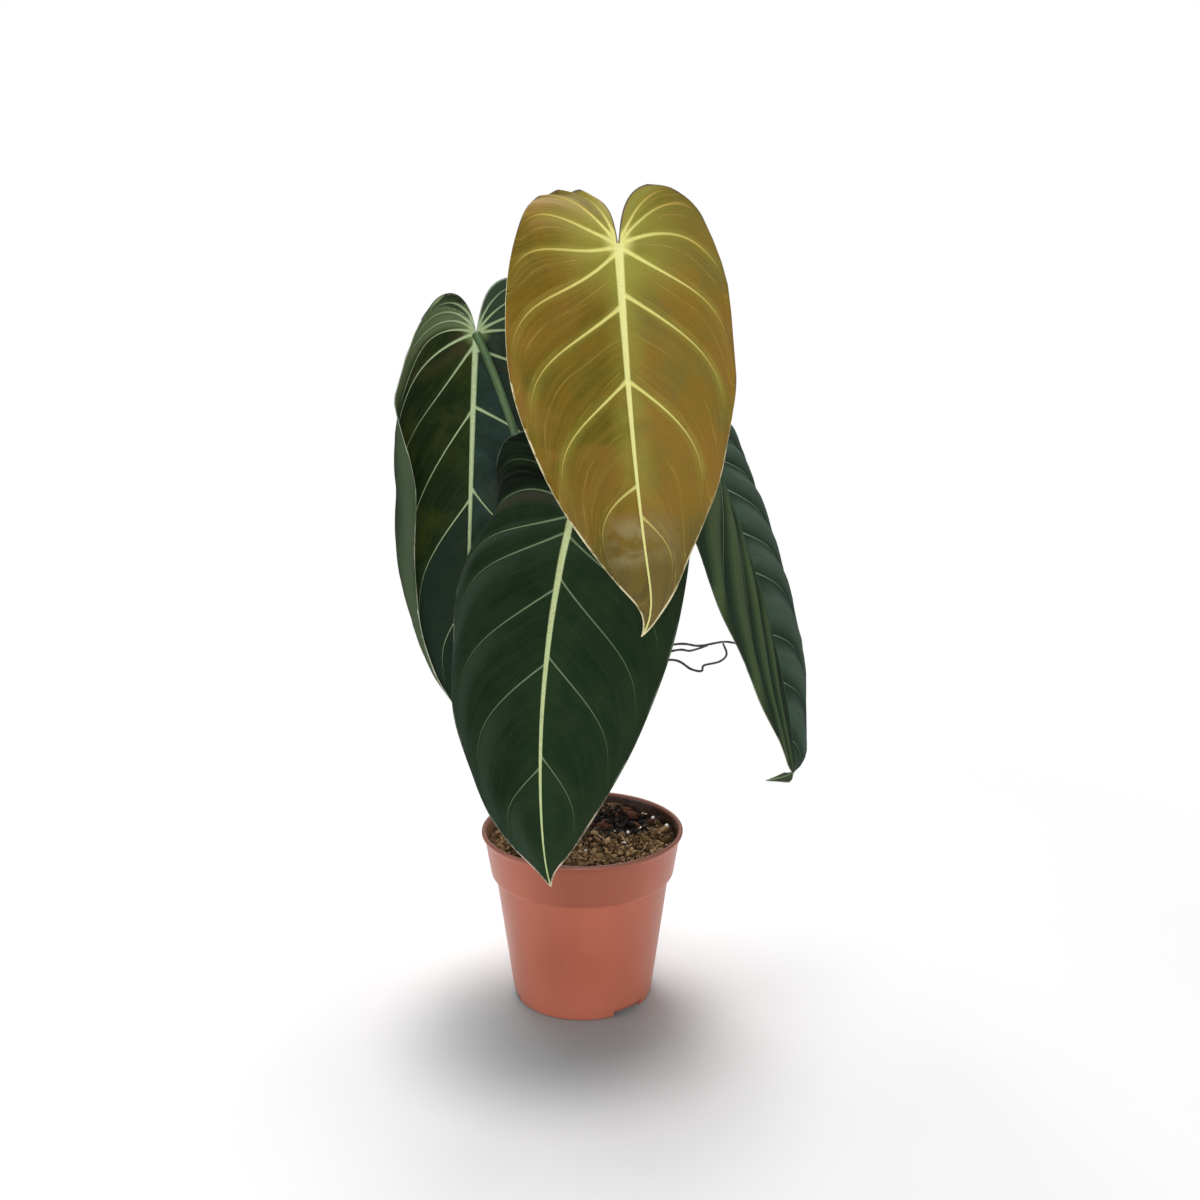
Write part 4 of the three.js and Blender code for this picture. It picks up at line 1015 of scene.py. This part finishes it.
# The stem with its swollen nodes, a clasping stub for each stalk and the closed sheath of the next leaf.
def stem():
    shape = stemShape
    nodes = np.array([shape["lowestNode"], *[stalk["node"] for stalk in stalks.values()]])
    z = np.linspace(shape["bottom"], shape["top"], 260)
    share = np.clip((z - shape["soil"]) / (shape["top"] - shape["soil"]), 0, 1)
    foot = shape["baseRadius"] - 0.6
    scar = np.exp(-(((z[:, None] - nodes + 4) / 1.0) ** 2)).max(1)
    swelling = shape["swell"] * np.exp(-(((z[:, None] - nodes + 3) / 4) ** 2)).max(1)
    radius = foot - share * (foot - shape["topRadius"]) + swelling - 0.25 * scar
    radius *= np.clip((shape["top"] + 1 - z) / 5, 0, 1) ** 0.5
    path = np.stack([0 * z + stemAt[0], 0 * z + stemAt[1], z], 1)
    pieces = [(*tube(path, radius, 48, np.array([0, 1, 0]), ridged)[:2], np.repeat(scar, 48))]
    t = np.linspace(0, 1, 30)
    for stalk in stalks.values():
        path = stubStart(stalk) + t[:, None] * unit(stalk["leave"]) * shape["stub"]
        wide = stalk["radius"] * (1.32 - 0.28 * t**1.5)
        stub = tube(path, wide, stalkSides, stalkAside, grooved)[:2]
        pieces.append((*stub, 0.5 * np.repeat(t < 0.04, stalkSides)))
    t = np.linspace(0, 1, 60)
    x, y = stemAt + sheath["at"]
    path = np.stack([x + sheath["lean"] * t**2, y + 0 * t, sheath["from"] + sheath["length"] * t], 1)
    wide = sheath["radius"] * np.clip(1 - t**2.2, 0, 1) ** 0.8 + 0.05
    pieces.append((*tube(path, wide, stalkSides, stalkAside)[:2], np.zeros(60 * stalkSides)))
    points, faces, facts = joined([(p, f, {"scar": np.append(scars, [0, 0])}) for p, f, scars in pieces])
    meshPiece("stem_body", points, faces, [stemMaterial()], replaces=["stem"], attributes=facts)


stem()
print("stem and stalks ready")


# Aerial roots

# Points in the order in which each strand passes them, from the stem to its end.
rootPaths = [
    [[2, 3, 212.5], [28, -4, 216], [56, 0, 220.6], [69, 0, 219.6], [84, 0, 222], [94.2, 1, 219.8]],
    [[2, 2, 212], [28, -5, 211], [55, 0, 216.8], [64, 0, 216.6], [74, 0, 219.8]],
    [[2, 4, 212], [28, -2, 207], [53, 0, 211], [64.5, 0, 205.3], [70.6, 0, 204.2], [72.1, 0, 207.6],
     [81, 0, 209.9], [85.2, 0, 214.3], [83, 0, 221]],
]
rootShape = {"thick": 0.7, "sides": 12, "collar": 8.0, "collarAt": 213, "collarHalf": 2}
rootTones = {"dark": (0.022, 0.02, 0.018), "bark": (0.075, 0.066, 0.055), "pale": (0.1, 0.09, 0.075)}


# Three wiry knotted strands that thin towards their ends, out of one collar on the stem.
def aerialRoots():
    material, tree, shader = newMaterial("root")
    bark = noise(tree, 900, 4, 0.6)
    colour = mixed(tree, ramped(tree, bark, 0.3, 0.7), rootTones["dark"], rootTones["bark"])
    patches = ramped(tree, noise(tree, 120, 2), 0.5, 0.75, 0.0, 0.6)
    colour = mixed(tree, patches, colour, rootTones["pale"])
    finishMaterial(tree, shader, colour, 0.62, bark, 0.5, 0.0003)
    strands = []
    t = np.linspace(0, 1, 170)
    for order, points in enumerate(rootPaths):
        knots = 0.08 * np.sin(t * 61 + order) * np.sin(t * 17 + 2 * order)
        thick = rootShape["thick"] * (1.15 - 0.3 * t + knots)
        strands.append(tube(splineThrough(np.array(points, float), 170), thick, rootShape["sides"],
                            np.array([0, 1, 0.1])))
    u = np.linspace(-1, 1, 24)
    z = rootShape["collarAt"] + rootShape["collarHalf"] * u
    path = np.stack([0 * u + stemAt[0], 0 * u + stemAt[1], z], 1)
    collar = rootShape["collar"] - 0.9 * u**4
    strands.append(tube(path, collar, 60, np.array([0, 1, 0]), lambda run, turn: 0.02 * np.cos(9 * turn)))
    points, faces, facts = joined(strands)
    meshPiece("roots", points, faces, [material], replaces=["aerial_roots"], attributes=facts)


aerialRoots()
print("aerial roots ready")


# Pot

potShape = {"height": 106.5, "lip": 60.8, "bandTop": 58.9, "bandBottom": 55.4, "band": 27.9, "wallTop": 52.5,
            "base": 42.2, "wall": 1.5, "raise": 4, "floor": 1.5, "pad": 12,
            "notches": 3, "notchWidth": 22, "notchHeight": 3.5, "notchTurn": 42,
            "drains": 6, "drainRadius": 3.2, "drainCircle": 25, "corner": 0.7, "longestStretch": 4.0}
# Colours, and in metres where they begin and where they are full.
# The tone that the pot takes at grazing angles is a painted sheen.
potLook = {"light": (0.46, 0.122, 0.067), "dark": (0.375, 0.097, 0.052), "grazingSheen": (0.52, 0.165, 0.105),
           # band is the colour of painted shade that the front leaf casts on the band's front.
           "rough": 0.38, "band": (0.15, 0.034, 0.016), "bandFrom": (0.078, 0.0805),
           "bandFront": (-0.058, -0.034), "bandSide": (-0.045, 0.0), "foot": (0.56, 0.17, 0.105),
           "footTo": (0.0, 0.045), "speck": (0.5, 0.25, 0.18), "lip": (0.22, 0.1, 0.072),
           "lipFrom": (0.1042, 0.1062), "crust": (0.009, 0.005, 0.003), "crustGrit": (0.055, 0.024, 0.013),
           "crustDust": (0.42, 0.21, 0.13), "dustTo": (-0.05, -0.015)}
step = potShape["height"] - potShape["band"]
floorTop = potShape["raise"] + potShape["floor"]


# The pot's inside follows its outside, step included.
def innerRadius(z):
    if z > step:
        outer = np.interp(z, [step, potShape["height"] - 4], [potShape["bandBottom"], potShape["bandTop"]])
        slope = (potShape["bandTop"] - potShape["bandBottom"]) / (potShape["band"] - 4)
        outer += slope * max(z - potShape["height"] + 4, 0)
    else:
        outer = potShape["base"] + z * (potShape["wallTop"] - potShape["base"]) / step
    return outer - potShape["wall"]


# Each inner corner of a profile becomes a small arc that starts and ends on its two sides.
def rounded(profile, radius, steps=4):
    points = np.array(profile, float)
    corner, before, after = points[1:-1], points[:-2] - points[1:-1], points[2:] - points[1:-1]
    longBefore = np.linalg.norm(before, axis=1, keepdims=True)
    longAfter = np.linalg.norm(after, axis=1, keepdims=True)
    start = corner + before / longBefore * np.minimum(radius, 0.4 * longBefore)
    end = corner + after / longAfter * np.minimum(radius, 0.4 * longAfter)
    t = np.linspace(0, 1, steps)[None, :, None]
    arcs = (1 - t) ** 2 * start[:, None] + 2 * t * (1 - t) * corner[:, None] + t**2 * end[:, None]
    return np.concatenate([points[:1], arcs.reshape(-1, 2), points[-1:]])


# Long stretches of a profile get points between.
def subdivided(profile, longest):
    out = [profile[:1]]
    for p, q in zip(profile[:-1], profile[1:]):
        count = int(np.ceil(np.linalg.norm(q - p) / longest))
        out.append(p + (q - p) * (np.arange(1, count + 1) / count)[:, None])
    return np.concatenate(out)


# Satin plastic with faint vertical drifts of tone, paler at the foot and, by a painted sheen, at grazing
# angles.
# The band is darker at its front with painted shade of the front leaf, more so to the right, the lip is worn,
# and the inside has a crust of soil, dusty at the left.
def potMaterial():
    material, tree, shader = newMaterial("terracottaPlastic")
    look = potLook
    drift = noise(tree, 24, 3, 0.5, stretch=(1, 1, 0.35))
    colour = mixed(tree, ramped(tree, drift, 0.3, 0.7), look["dark"], look["light"])
    place = axesOf(tree, objectPlace(tree))
    # Painted sheen: paler where the surface is seen at a grazing angle.
    grazing = ramped(tree, put(tree, "LayerWeight", {"Blend": 0.5}).outputs["Facing"], 0.3, 0.95)
    colour = mixed(tree, grazing, colour, look["grazingSheen"])
    # Painted shade of the front leaf on the band's front, stronger to the right.
    band = ramped(tree, place["Z"], *look["bandFrom"])
    band = times(tree, band, ramped(tree, place["Y"], *look["bandFront"], 0.45, 0.0))
    band = times(tree, band, ramped(tree, place["X"], *look["bandSide"], 0.3, 1.0))
    colour = mixed(tree, band, colour, look["band"])
    colour = mixed(tree, ramped(tree, place["Z"], *look["footTo"], 0.6, 0.0), colour, look["foot"])
    specks = ramped(tree, noise(tree, 700, 2), 0.68, 0.78, 0.0, 0.25)
    colour = mixed(tree, specks, colour, look["speck"])
    colour = mixed(tree, ramped(tree, place["Z"], *look["lipFrom"], 0.0, 0.7), colour, look["lip"])
    ragged = ramped(tree, noise(tree, 160, 4, 0.6), 0.15, 0.4, 0.75, 1.0)
    grit = ramped(tree, noise(tree, 420, 4, 0.6), 0.35, 0.65)
    crust = mixed(tree, grit, look["crust"], look["crustGrit"])
    crust = mixed(tree, ramped(tree, place["X"], *look["dustTo"], 0.85, 0.0), crust, look["crustDust"])
    colour = mixed(tree, times(tree, ragged, attribute(tree, "inside")), colour, crust)
    rough = ramped(tree, drift, 0.3, 0.7, look["rough"] - 0.05, look["rough"] + 0.05)
    finishMaterial(tree, shader, colour, rough, noise(tree, 1500, 3), 0.12, 0.0002, Specular_IOR_Level=0.5)
    return material


# A lathed shell: pad, raised floor, foot, tapered wall, band, lip and inside, with notches in the foot and
# drain holes in the floor.
def pot():
    p, top, lip = potShape, potShape["height"], potShape["lip"]
    inner = [[innerRadius(z), z] for z in (top - 1.6, step + 2.2, step - 0.6, floorTop + 1.2)]
    profile = [[0.4, 0], [p["pad"], 0], [p["pad"] + 1.2, p["raise"]], [p["base"] - 4.6, p["raise"]],
               [p["base"] - 3.4, 0], [p["base"] - 1.0, 0], [p["base"] + 0.1, 1.4],
               [p["wallTop"] - 0.1, step - 1.4], [p["wallTop"] + 0.4, step - 0.5],
               [p["bandBottom"] - 0.6, step + 0.2], [p["bandBottom"], step + 1.2],
               [p["bandTop"], top - 4.6], [p["bandTop"] + 0.5, top - 3.2],
               [lip - 0.3, top - 2.7], [lip, top - 1.9], [lip, top - 0.8], [lip - 0.9, top], [lip - 2, top],
               *inner, [innerRadius(floorTop) - 1.2, floorTop], [0.4, floorTop]]
    outline = subdivided(rounded(profile, p["corner"]), p["longestStretch"])
    half = np.degrees(np.arcsin(p["notchWidth"] / 2 / p["base"]))
    centres = p["notchTurn"] - 90 + 360 / p["notches"] * np.arange(p["notches"])
    edges = (centres[:, None] + [-half - 0.05, -half + 0.05, half - 0.05, half + 0.05]).ravel()
    turn = np.radians(np.unique(np.round(np.concatenate([np.arange(0, 360, 1.5), edges % 360]), 4)))
    radius, z = outline[:, :1], outline[:, 1:] + 0 * turn[None]
    ring = np.stack([radius * np.cos(turn), radius * np.sin(turn), z], -1)
    off = np.abs((np.degrees(turn)[:, None] - centres + 180) % 360 - 180).min(1)
    inFoot = (np.arange(len(outline)) < np.argmax(outline[:, 1] > step - 2))[:, None]
    notch = (off < half)[None] & inFoot & (radius > p["base"] - 7) & (z < p["notchHeight"])
    ring[..., 2] = np.where(notch, p["notchHeight"], ring[..., 2])
    points, faces = closedRings(ring, [0, 0, 0], [0, 0, floorTop], flip=True)
    rows, columns = z.shape
    inside = np.clip((np.arange(rows) - np.argmax(outline[:, 1] >= top - 1e-6)) / 8, 0, 1)
    facts = {"inside": np.append(np.repeat(inside, columns), [0, 1])}
    piece = meshPiece("pot_shell", points, faces, [potMaterial()], replaces=["pot"],
                      attributes=facts)
    cutters = []
    for angle in 2 * np.pi * np.arange(p["drains"]) / p["drains"]:
        centre = p["drainCircle"] * np.array([np.cos(angle), np.sin(angle), 0])
        path = centre + np.array([[0, 0, z] for z in (p["raise"] - 1, p["raise"] + 0.5, floorTop + 1.5)])
        cutters.append(tube(path, p["drainRadius"], 24, np.array([0, 1, 0])))
    cutter = meshObject("drains", *joined(cutters)[:2])
    cut = piece.modifiers.new("drains", "BOOLEAN")
    cut.object = cutter
    cut.operation = "DIFFERENCE"
    bored = bpy.data.meshes.new_from_object(piece.evaluated_get(bpy.context.evaluated_depsgraph_get()))
    piece.modifiers.remove(cut)
    piece.data = bored
    bpy.data.objects.remove(cutter)


pot()
print("pot ready")


# Soil

soilShape = {"level": 99, "gap": 0.3, "hollowAt": [24, 28], "hollowRadius": 17, "hollowDepth": 8,
             "bankFrom": 22, "bankRun": 28, "bankRise": 3, "wetAt": [23, 27], "wetRadius": 22, "wetFade": 6,
             "edge": 53.5, "stemClear": 8.6}


# Smooth random heights from -1 to 1 on a square lattice of the given size.
def lattice(x, y, size, seed):
    table = np.random.default_rng(seed).uniform(-1, 1, (256, 256))
    u, w = x / size + 100, y / size + 100
    i, j = np.floor(u).astype(int), np.floor(w).astype(int)
    s, t = u - i, w - j
    s, t = s * s * (3 - 2 * s), t * t * (3 - 2 * t)
    near, far = [table[k % 256, j % 256] * (1 - t) + table[k % 256, (j + 1) % 256] * t for k in (i, i + 1)]
    return near * (1 - s) + far * s


# Gentle lumps, the wet hollow to the right of the stem, a bank towards the back wall, and clods on top.
def soilHeight(x, y):
    lumps = 0.7 * np.sin(0.17 * x + 1.1) * np.cos(0.21 * y) + 0.5 * np.sin(0.31 * x - 0.27 * y + 2)
    away = np.hypot(x - soilShape["hollowAt"][0], y - soilShape["hollowAt"][1]) / soilShape["hollowRadius"]
    clods = 0.8 * lattice(x, y, 5.5, 1) + 0.5 * lattice(x, y, 2.4, 2) + 0.3 * lattice(x, y, 1.0, 3)
    bank = soilShape["bankRise"] * np.clip((y - soilShape["bankFrom"]) / soilShape["bankRun"], 0, 1) ** 2
    return soilShape["level"] + lumps + bank - soilShape["hollowDepth"] * np.exp(-away * away) + clods


# How wet the soil is: 1 in the hollow, a little longer from front to back than across, and 0 away from it.
def wetness(x, y):
    away = np.hypot(x - soilShape["wetAt"][0], (y - soilShape["wetAt"][1]) * 0.85)
    return np.clip((soilShape["wetRadius"] - away) / soilShape["wetFade"], 0, 1)


soilTones = {"peat": ((0.03, 0.016, 0.007), (0.18, 0.105, 0.044)), "tan": (0.55, 0.35, 0.18),
             "black": (0.012, 0.007, 0.004), "bark": ((0.035, 0.014, 0.008), (0.13, 0.055, 0.03)),
             "wet": (0.003, 0.0025, 0.0025), "rootlet": (0.62, 0.42, 0.32),
             "perlite": ((0.6, 0.58, 0.52), (0.95, 0.95, 0.92))}


# Brown peat, black and glinting where it is wet. Each crumb has its own tone, from near black to tan, and
# bark, white perlite and pale rootlets have their own colours.
def soilMaterial():
    material, tree, shader = newMaterial("peat")
    tone, wet = attribute(tree, "tone"), attribute(tree, "wet")
    bark, perlite, pale = [attribute(tree, key) for key in ("bark", "perlite", "pale")]
    grit = noise(tree, 900, 5, 0.65)
    colour = mixed(tree, ramped(tree, grit, 0.3, 0.7), *soilTones["peat"])
    colour = mixed(tree, ramped(tree, tone, 0.3, 1.0, 0.0, 0.95), colour, soilTones["tan"])
    colour = mixed(tree, ramped(tree, tone, 0.0, 0.35, 0.85, 0.0), colour, soilTones["black"])
    colour = mixed(tree, bark, colour, mixed(tree, ramped(tree, grit, 0.35, 0.65), *soilTones["bark"]))
    colour = mixed(tree, times(tree, wet, 0.95), colour, soilTones["wet"])
    colour = mixed(tree, pale, colour, soilTones["rootlet"])
    colour = mixed(tree, perlite, colour, mixed(tree, ramped(tree, grit, 0.3, 0.6), *soilTones["perlite"]))
    glint = ramped(tree, noise(tree, 700, 2), 0.5, 0.62, 0.7, 0.25)
    rough = calc(tree, "MULTIPLY_ADD", wet, calc(tree, "SUBTRACT", glint, 0.95), 0.95)
    finishMaterial(tree, shader, colour, rough, grit, 0.8, 0.0008, Specular_IOR_Level=0.14)
    return material


# A closed plug: hole for the stem, surface as a height field, and sides that follow the pot's inside.
def soilBody():
    gap, level = soilShape["gap"], soilShape["level"]
    columns = 300
    turn = np.linspace(0, 2 * np.pi, columns, endpoint=False)
    ray = np.stack([np.cos(turn), np.sin(turn)], 1)
    low = floorTop + gap
    edge = innerRadius(level - 3) - gap

    # Where rays from the stem meet a circle about the pot's axis.
    def reach(radius):
        toward = ray @ stemAt
        return -toward + np.sqrt(toward**2 + radius**2 - stemAt @ stemAt)

    def ringAt(away, z):
        spot = stemAt + ray * np.reshape(away, (-1, 1))
        return np.column_stack([spot, np.broadcast_to(z, columns)])

    hole = stemShape["baseRadius"] + gap
    rings = [ringAt(0 * turn + r, stemShape["bottom"] - gap) for r in (0.5, 4, hole)]
    for u in np.concatenate([[0], np.linspace(0.004, 0.996, 130), [1]]):
        away = hole + (reach(edge) - hole) * u
        spot = stemAt + ray * away[:, None]
        rings.append(np.column_stack([spot, soilHeight(*spot.T)]))
    outer = [(edge, level - 3), (innerRadius(step + 2.2) - gap, step + 3),
             (innerRadius(step - 0.6) - gap, step - 0.1), (innerRadius(low + 1.2) - gap, low + 1.4),
             (innerRadius(low) - 1.6 - gap, low)]
    rings += [ringAt(reach(radius), z) for radius, z in outer]
    rings += [ringAt(reach(radius), low) for radius in (30, 12)]
    return closedRings(np.array(rings), [*stemAt, stemShape["bottom"] - gap], [*stemAt, low], flip=False)


# An icosahedron, its faces split in four at each level, on the unit sphere.
def ball(levels):
    g = (1 + 5**0.5) / 2
    points = np.array([[-1, g, 0], [1, g, 0], [-1, -g, 0], [1, -g, 0], [0, -1, g], [0, 1, g],
                       [0, -1, -g], [0, 1, -g], [g, 0, -1], [g, 0, 1], [-g, 0, -1], [-g, 0, 1]])
    faces = np.array([[0, 11, 5], [0, 5, 1], [0, 1, 7], [0, 7, 10], [0, 10, 11],
                      [1, 5, 9], [5, 11, 4], [11, 10, 2], [10, 7, 6], [7, 1, 8],
                      [3, 9, 4], [3, 4, 2], [3, 2, 6], [3, 6, 8], [3, 8, 9],
                      [4, 9, 5], [2, 4, 11], [6, 2, 10], [8, 6, 7], [9, 8, 1]])
    for _ in range(levels):
        corners = points[faces]
        middles = (corners + np.roll(corners, -1, axis=1)) / 2
        a, b, c = corners.transpose(1, 0, 2)
        ab, bc, ca = middles.transpose(1, 0, 2)
        soup = np.stack([a, ab, ca, b, bc, ab, c, ca, bc, ab, bc, ca], 1).reshape(-1, 3)
        points, same = np.unique(np.round(soup, 6), axis=0, return_inverse=True)
        faces = same.reshape(-1, 3)
    return points / np.linalg.norm(points, axis=1, keepdims=True), faces


# Copies of a base shape, each stretched, dented and turned at random.
def scattered(base, centres, sizes, lumpiness, squash):
    shape, faces = base
    count = len(centres)
    axes = rng.normal(size=(count, 3, 3))
    turned = np.linalg.qr(axes)[0]
    turned[np.linalg.det(turned) < 0, :, 0] *= -1
    stretch = rng.uniform(*squash, (count, 1, 3))
    dents = 1 + lumpiness * rng.uniform(-1, 1, (count, len(shape), 1))
    local = shape[None] * dents * stretch * sizes[:, None, None]
    points = np.einsum("nij,nkj->nki", turned, local) + centres[:, None]
    every = faces[None] + len(shape) * np.arange(count)[:, None, None]
    return points.reshape(-1, 3), every.reshape(-1, 3), len(shape)


# Random places on the soil, clear of the stem.
def spread(count, outer=soilShape["edge"]):
    angle = rng.uniform(0, 2 * np.pi, count * 2)
    away = outer * np.sqrt(rng.uniform(0, 1, count * 2))
    x, y = away * np.cos(angle), away * np.sin(angle)
    clear = np.hypot(x - stemAt[0], y - stemAt[1]) > soilShape["stemClear"]
    return x[clear][:count], y[clear][:count]


# A thin wavy thread that lies on the soil from one place to another.
def thread(start, end, thick):
    bow = 1.6
    t = np.linspace(0, 1, 14)
    x = start[0] + (end[0] - start[0]) * t + bow * np.sin(np.pi * t) * 0.3
    y = start[1] + (end[1] - start[1]) * t + bow * np.sin(2 * np.pi * t + 0.6)
    path = np.stack([x, y, soilHeight(x, y) + 0.9 + 0.5 * np.sin(np.pi * t)], 1)
    return tube(path, thick * (1 - 0.4 * t), 6, np.array([0, 0.1, 1]))


# Places that the photograph gives; a rootlet has both its ends and its radius.
litter = {
    "perlite": [(36.2, 22.8), (19.3, 13.1), (27.9, 8.3), (26.8, -16.3), (25.1, -11.8), (49.3, -5.7),
                (52, 14.7), (2.4, -20.8), (44, 33)],
    "rootlets": [((6.4, 11.5), (16.1, -14.8), 0.35), ((34, 24), (44, 18), 0.3), ((21, 4), (28, -9), 0.28),
                 ((37, 40), (41, 42), 0.5)],
    "barkAt": [(24, 48), (12, 28), (34, 40), (14, 50), (2, 45), (42, 32)],
    "twigsAt": (25, 30),
}


# How many there are of each kind of bit (of bark, at each place), the range of their radii, how uneven and
# how squashed they are, and how far they stand out of the soil as a share of the radius.
bits = {
    "crumbs": {"count": 2300, "sizes": (0.45, 1.0), "lumpiness": 0.25, "squash": (0.6, 1.3), "lift": 0.3},
    "bigCrumbs": {"count": 800, "sizes": (0.9, 1.8), "lumpiness": 0.25, "squash": (0.5, 1.3), "lift": 0.3},
    "clods": {"count": 140, "sizes": (1.6, 3.2), "lumpiness": 0.16, "squash": (0.55, 1.2), "lift": 0.1},
    "bark": {"count": 9, "sizes": (1.3, 3.4), "lumpiness": 0.15, "squash": (0.3, 1.5), "lift": 0.4},
    "twigs": {"count": 70, "sizes": (0.9, 2.4), "lumpiness": 0.15, "squash": (0.3, 1.8), "lift": 0.3},
    "perlite": {"count": 26, "sizes": (0.3, 0.8), "lumpiness": 0.2, "squash": (0.8, 1.3), "lift": 0.7},
}


# The plug with its crumbs, clods, bark, twigs in the hollow, perlite and rootlets in one piece.
def soil():
    points, faces = soilBody()
    x, y = points[:, 0], points[:, 1]
    tone = 0.2 + 0.34 * lattice(x, y, 7, 5) + 0.2 * lattice(x, y, 2.5, 6) + 0.2 * np.clip(-x / 50, 0, 1)
    others = {"bark": 0 * x, "perlite": 0 * x, "pale": 0 * x}
    layers = [(points, faces, {"tone": tone, "wet": wetness(x, y), **others})]

    def radii(kind, count):
        return rng.uniform(*bits[kind]["sizes"], count)

    # Puts a shape at many places. Bits of bark, twigs and perlite give their own facts.
    def strew(kind, x, y, sizes, base, toneOf, **facts):
        look = bits[kind]
        centres = np.stack([x, y, soilHeight(x, y) + look["lift"] * sizes], 1)
        shapes, shapeFaces, each = scattered(base, centres, sizes, look["lumpiness"], look["squash"])
        facts = {"tone": toneOf, "wet": wetness(x, y), "bark": 0, "perlite": 0, "pale": 0, **facts}
        facts = {key: np.repeat(value + 0 * x, each) for key, value in facts.items()}
        layers.append((shapes, [shapeFaces], facts))

    # Crumbs are brighter away from the hollow.
    for kind in ("crumbs", "bigCrumbs"):
        x, y = spread(bits[kind]["count"])
        bright = np.clip((np.hypot(x - 15, y - 22) - 30) / 25, 0, 1)
        tone = np.clip(rng.normal(0.3, 0.3, len(x)) + 0.5 * bright, 0, 1)
        strew(kind, x, y, radii(kind, len(x)), ball(0), tone)
    x, y = spread(bits["clods"]["count"], outer=soilShape["edge"] - 2)
    sizes = radii("clods", len(x))
    strew("clods", x, y, sizes, ball(1), rng.uniform(0.1, 0.75, len(x)))
    spots = np.repeat(np.array(litter["barkAt"], float), bits["bark"]["count"], axis=0)
    spots = spots + rng.normal(0, 4.5, spots.shape)
    spots = spots[np.hypot(*spots.T) < soilShape["edge"] - 0.5]
    strew("bark", *spots.T, radii("bark", len(spots)), ball(0), 0.6, bark=1.0, wet=0.0)
    spots = np.array(litter["twigsAt"]) + rng.normal(0, 6.5, (bits["twigs"]["count"], 2))
    strew("twigs", *spots.T, radii("twigs", len(spots)), ball(0), 0.2, wet=1.0)
    x, y = spread(bits["perlite"]["count"])
    spots = np.concatenate([litter["perlite"], np.stack([x, y], 1)])
    sizes = np.concatenate([rng.uniform(1.0, 1.5, len(litter["perlite"])), radii("perlite", len(x))])
    strew("perlite", *spots.T, sizes, ball(0), 1.0, perlite=1.0, wet=0.0)
    for start, end, thick in litter["rootlets"]:
        points, faces = thread(start, end, thick)[:2]
        none = np.zeros(len(points))
        facts = {"tone": none, "wet": none, "bark": none, "perlite": none, "pale": none + 1}
        layers.append((points, faces, facts))
    points, faces, facts = joined(layers)
    meshPiece("soil_body", points, faces, [soilMaterial()], replaces=["soil"], attributes=facts)


soil()
print("soil ready")
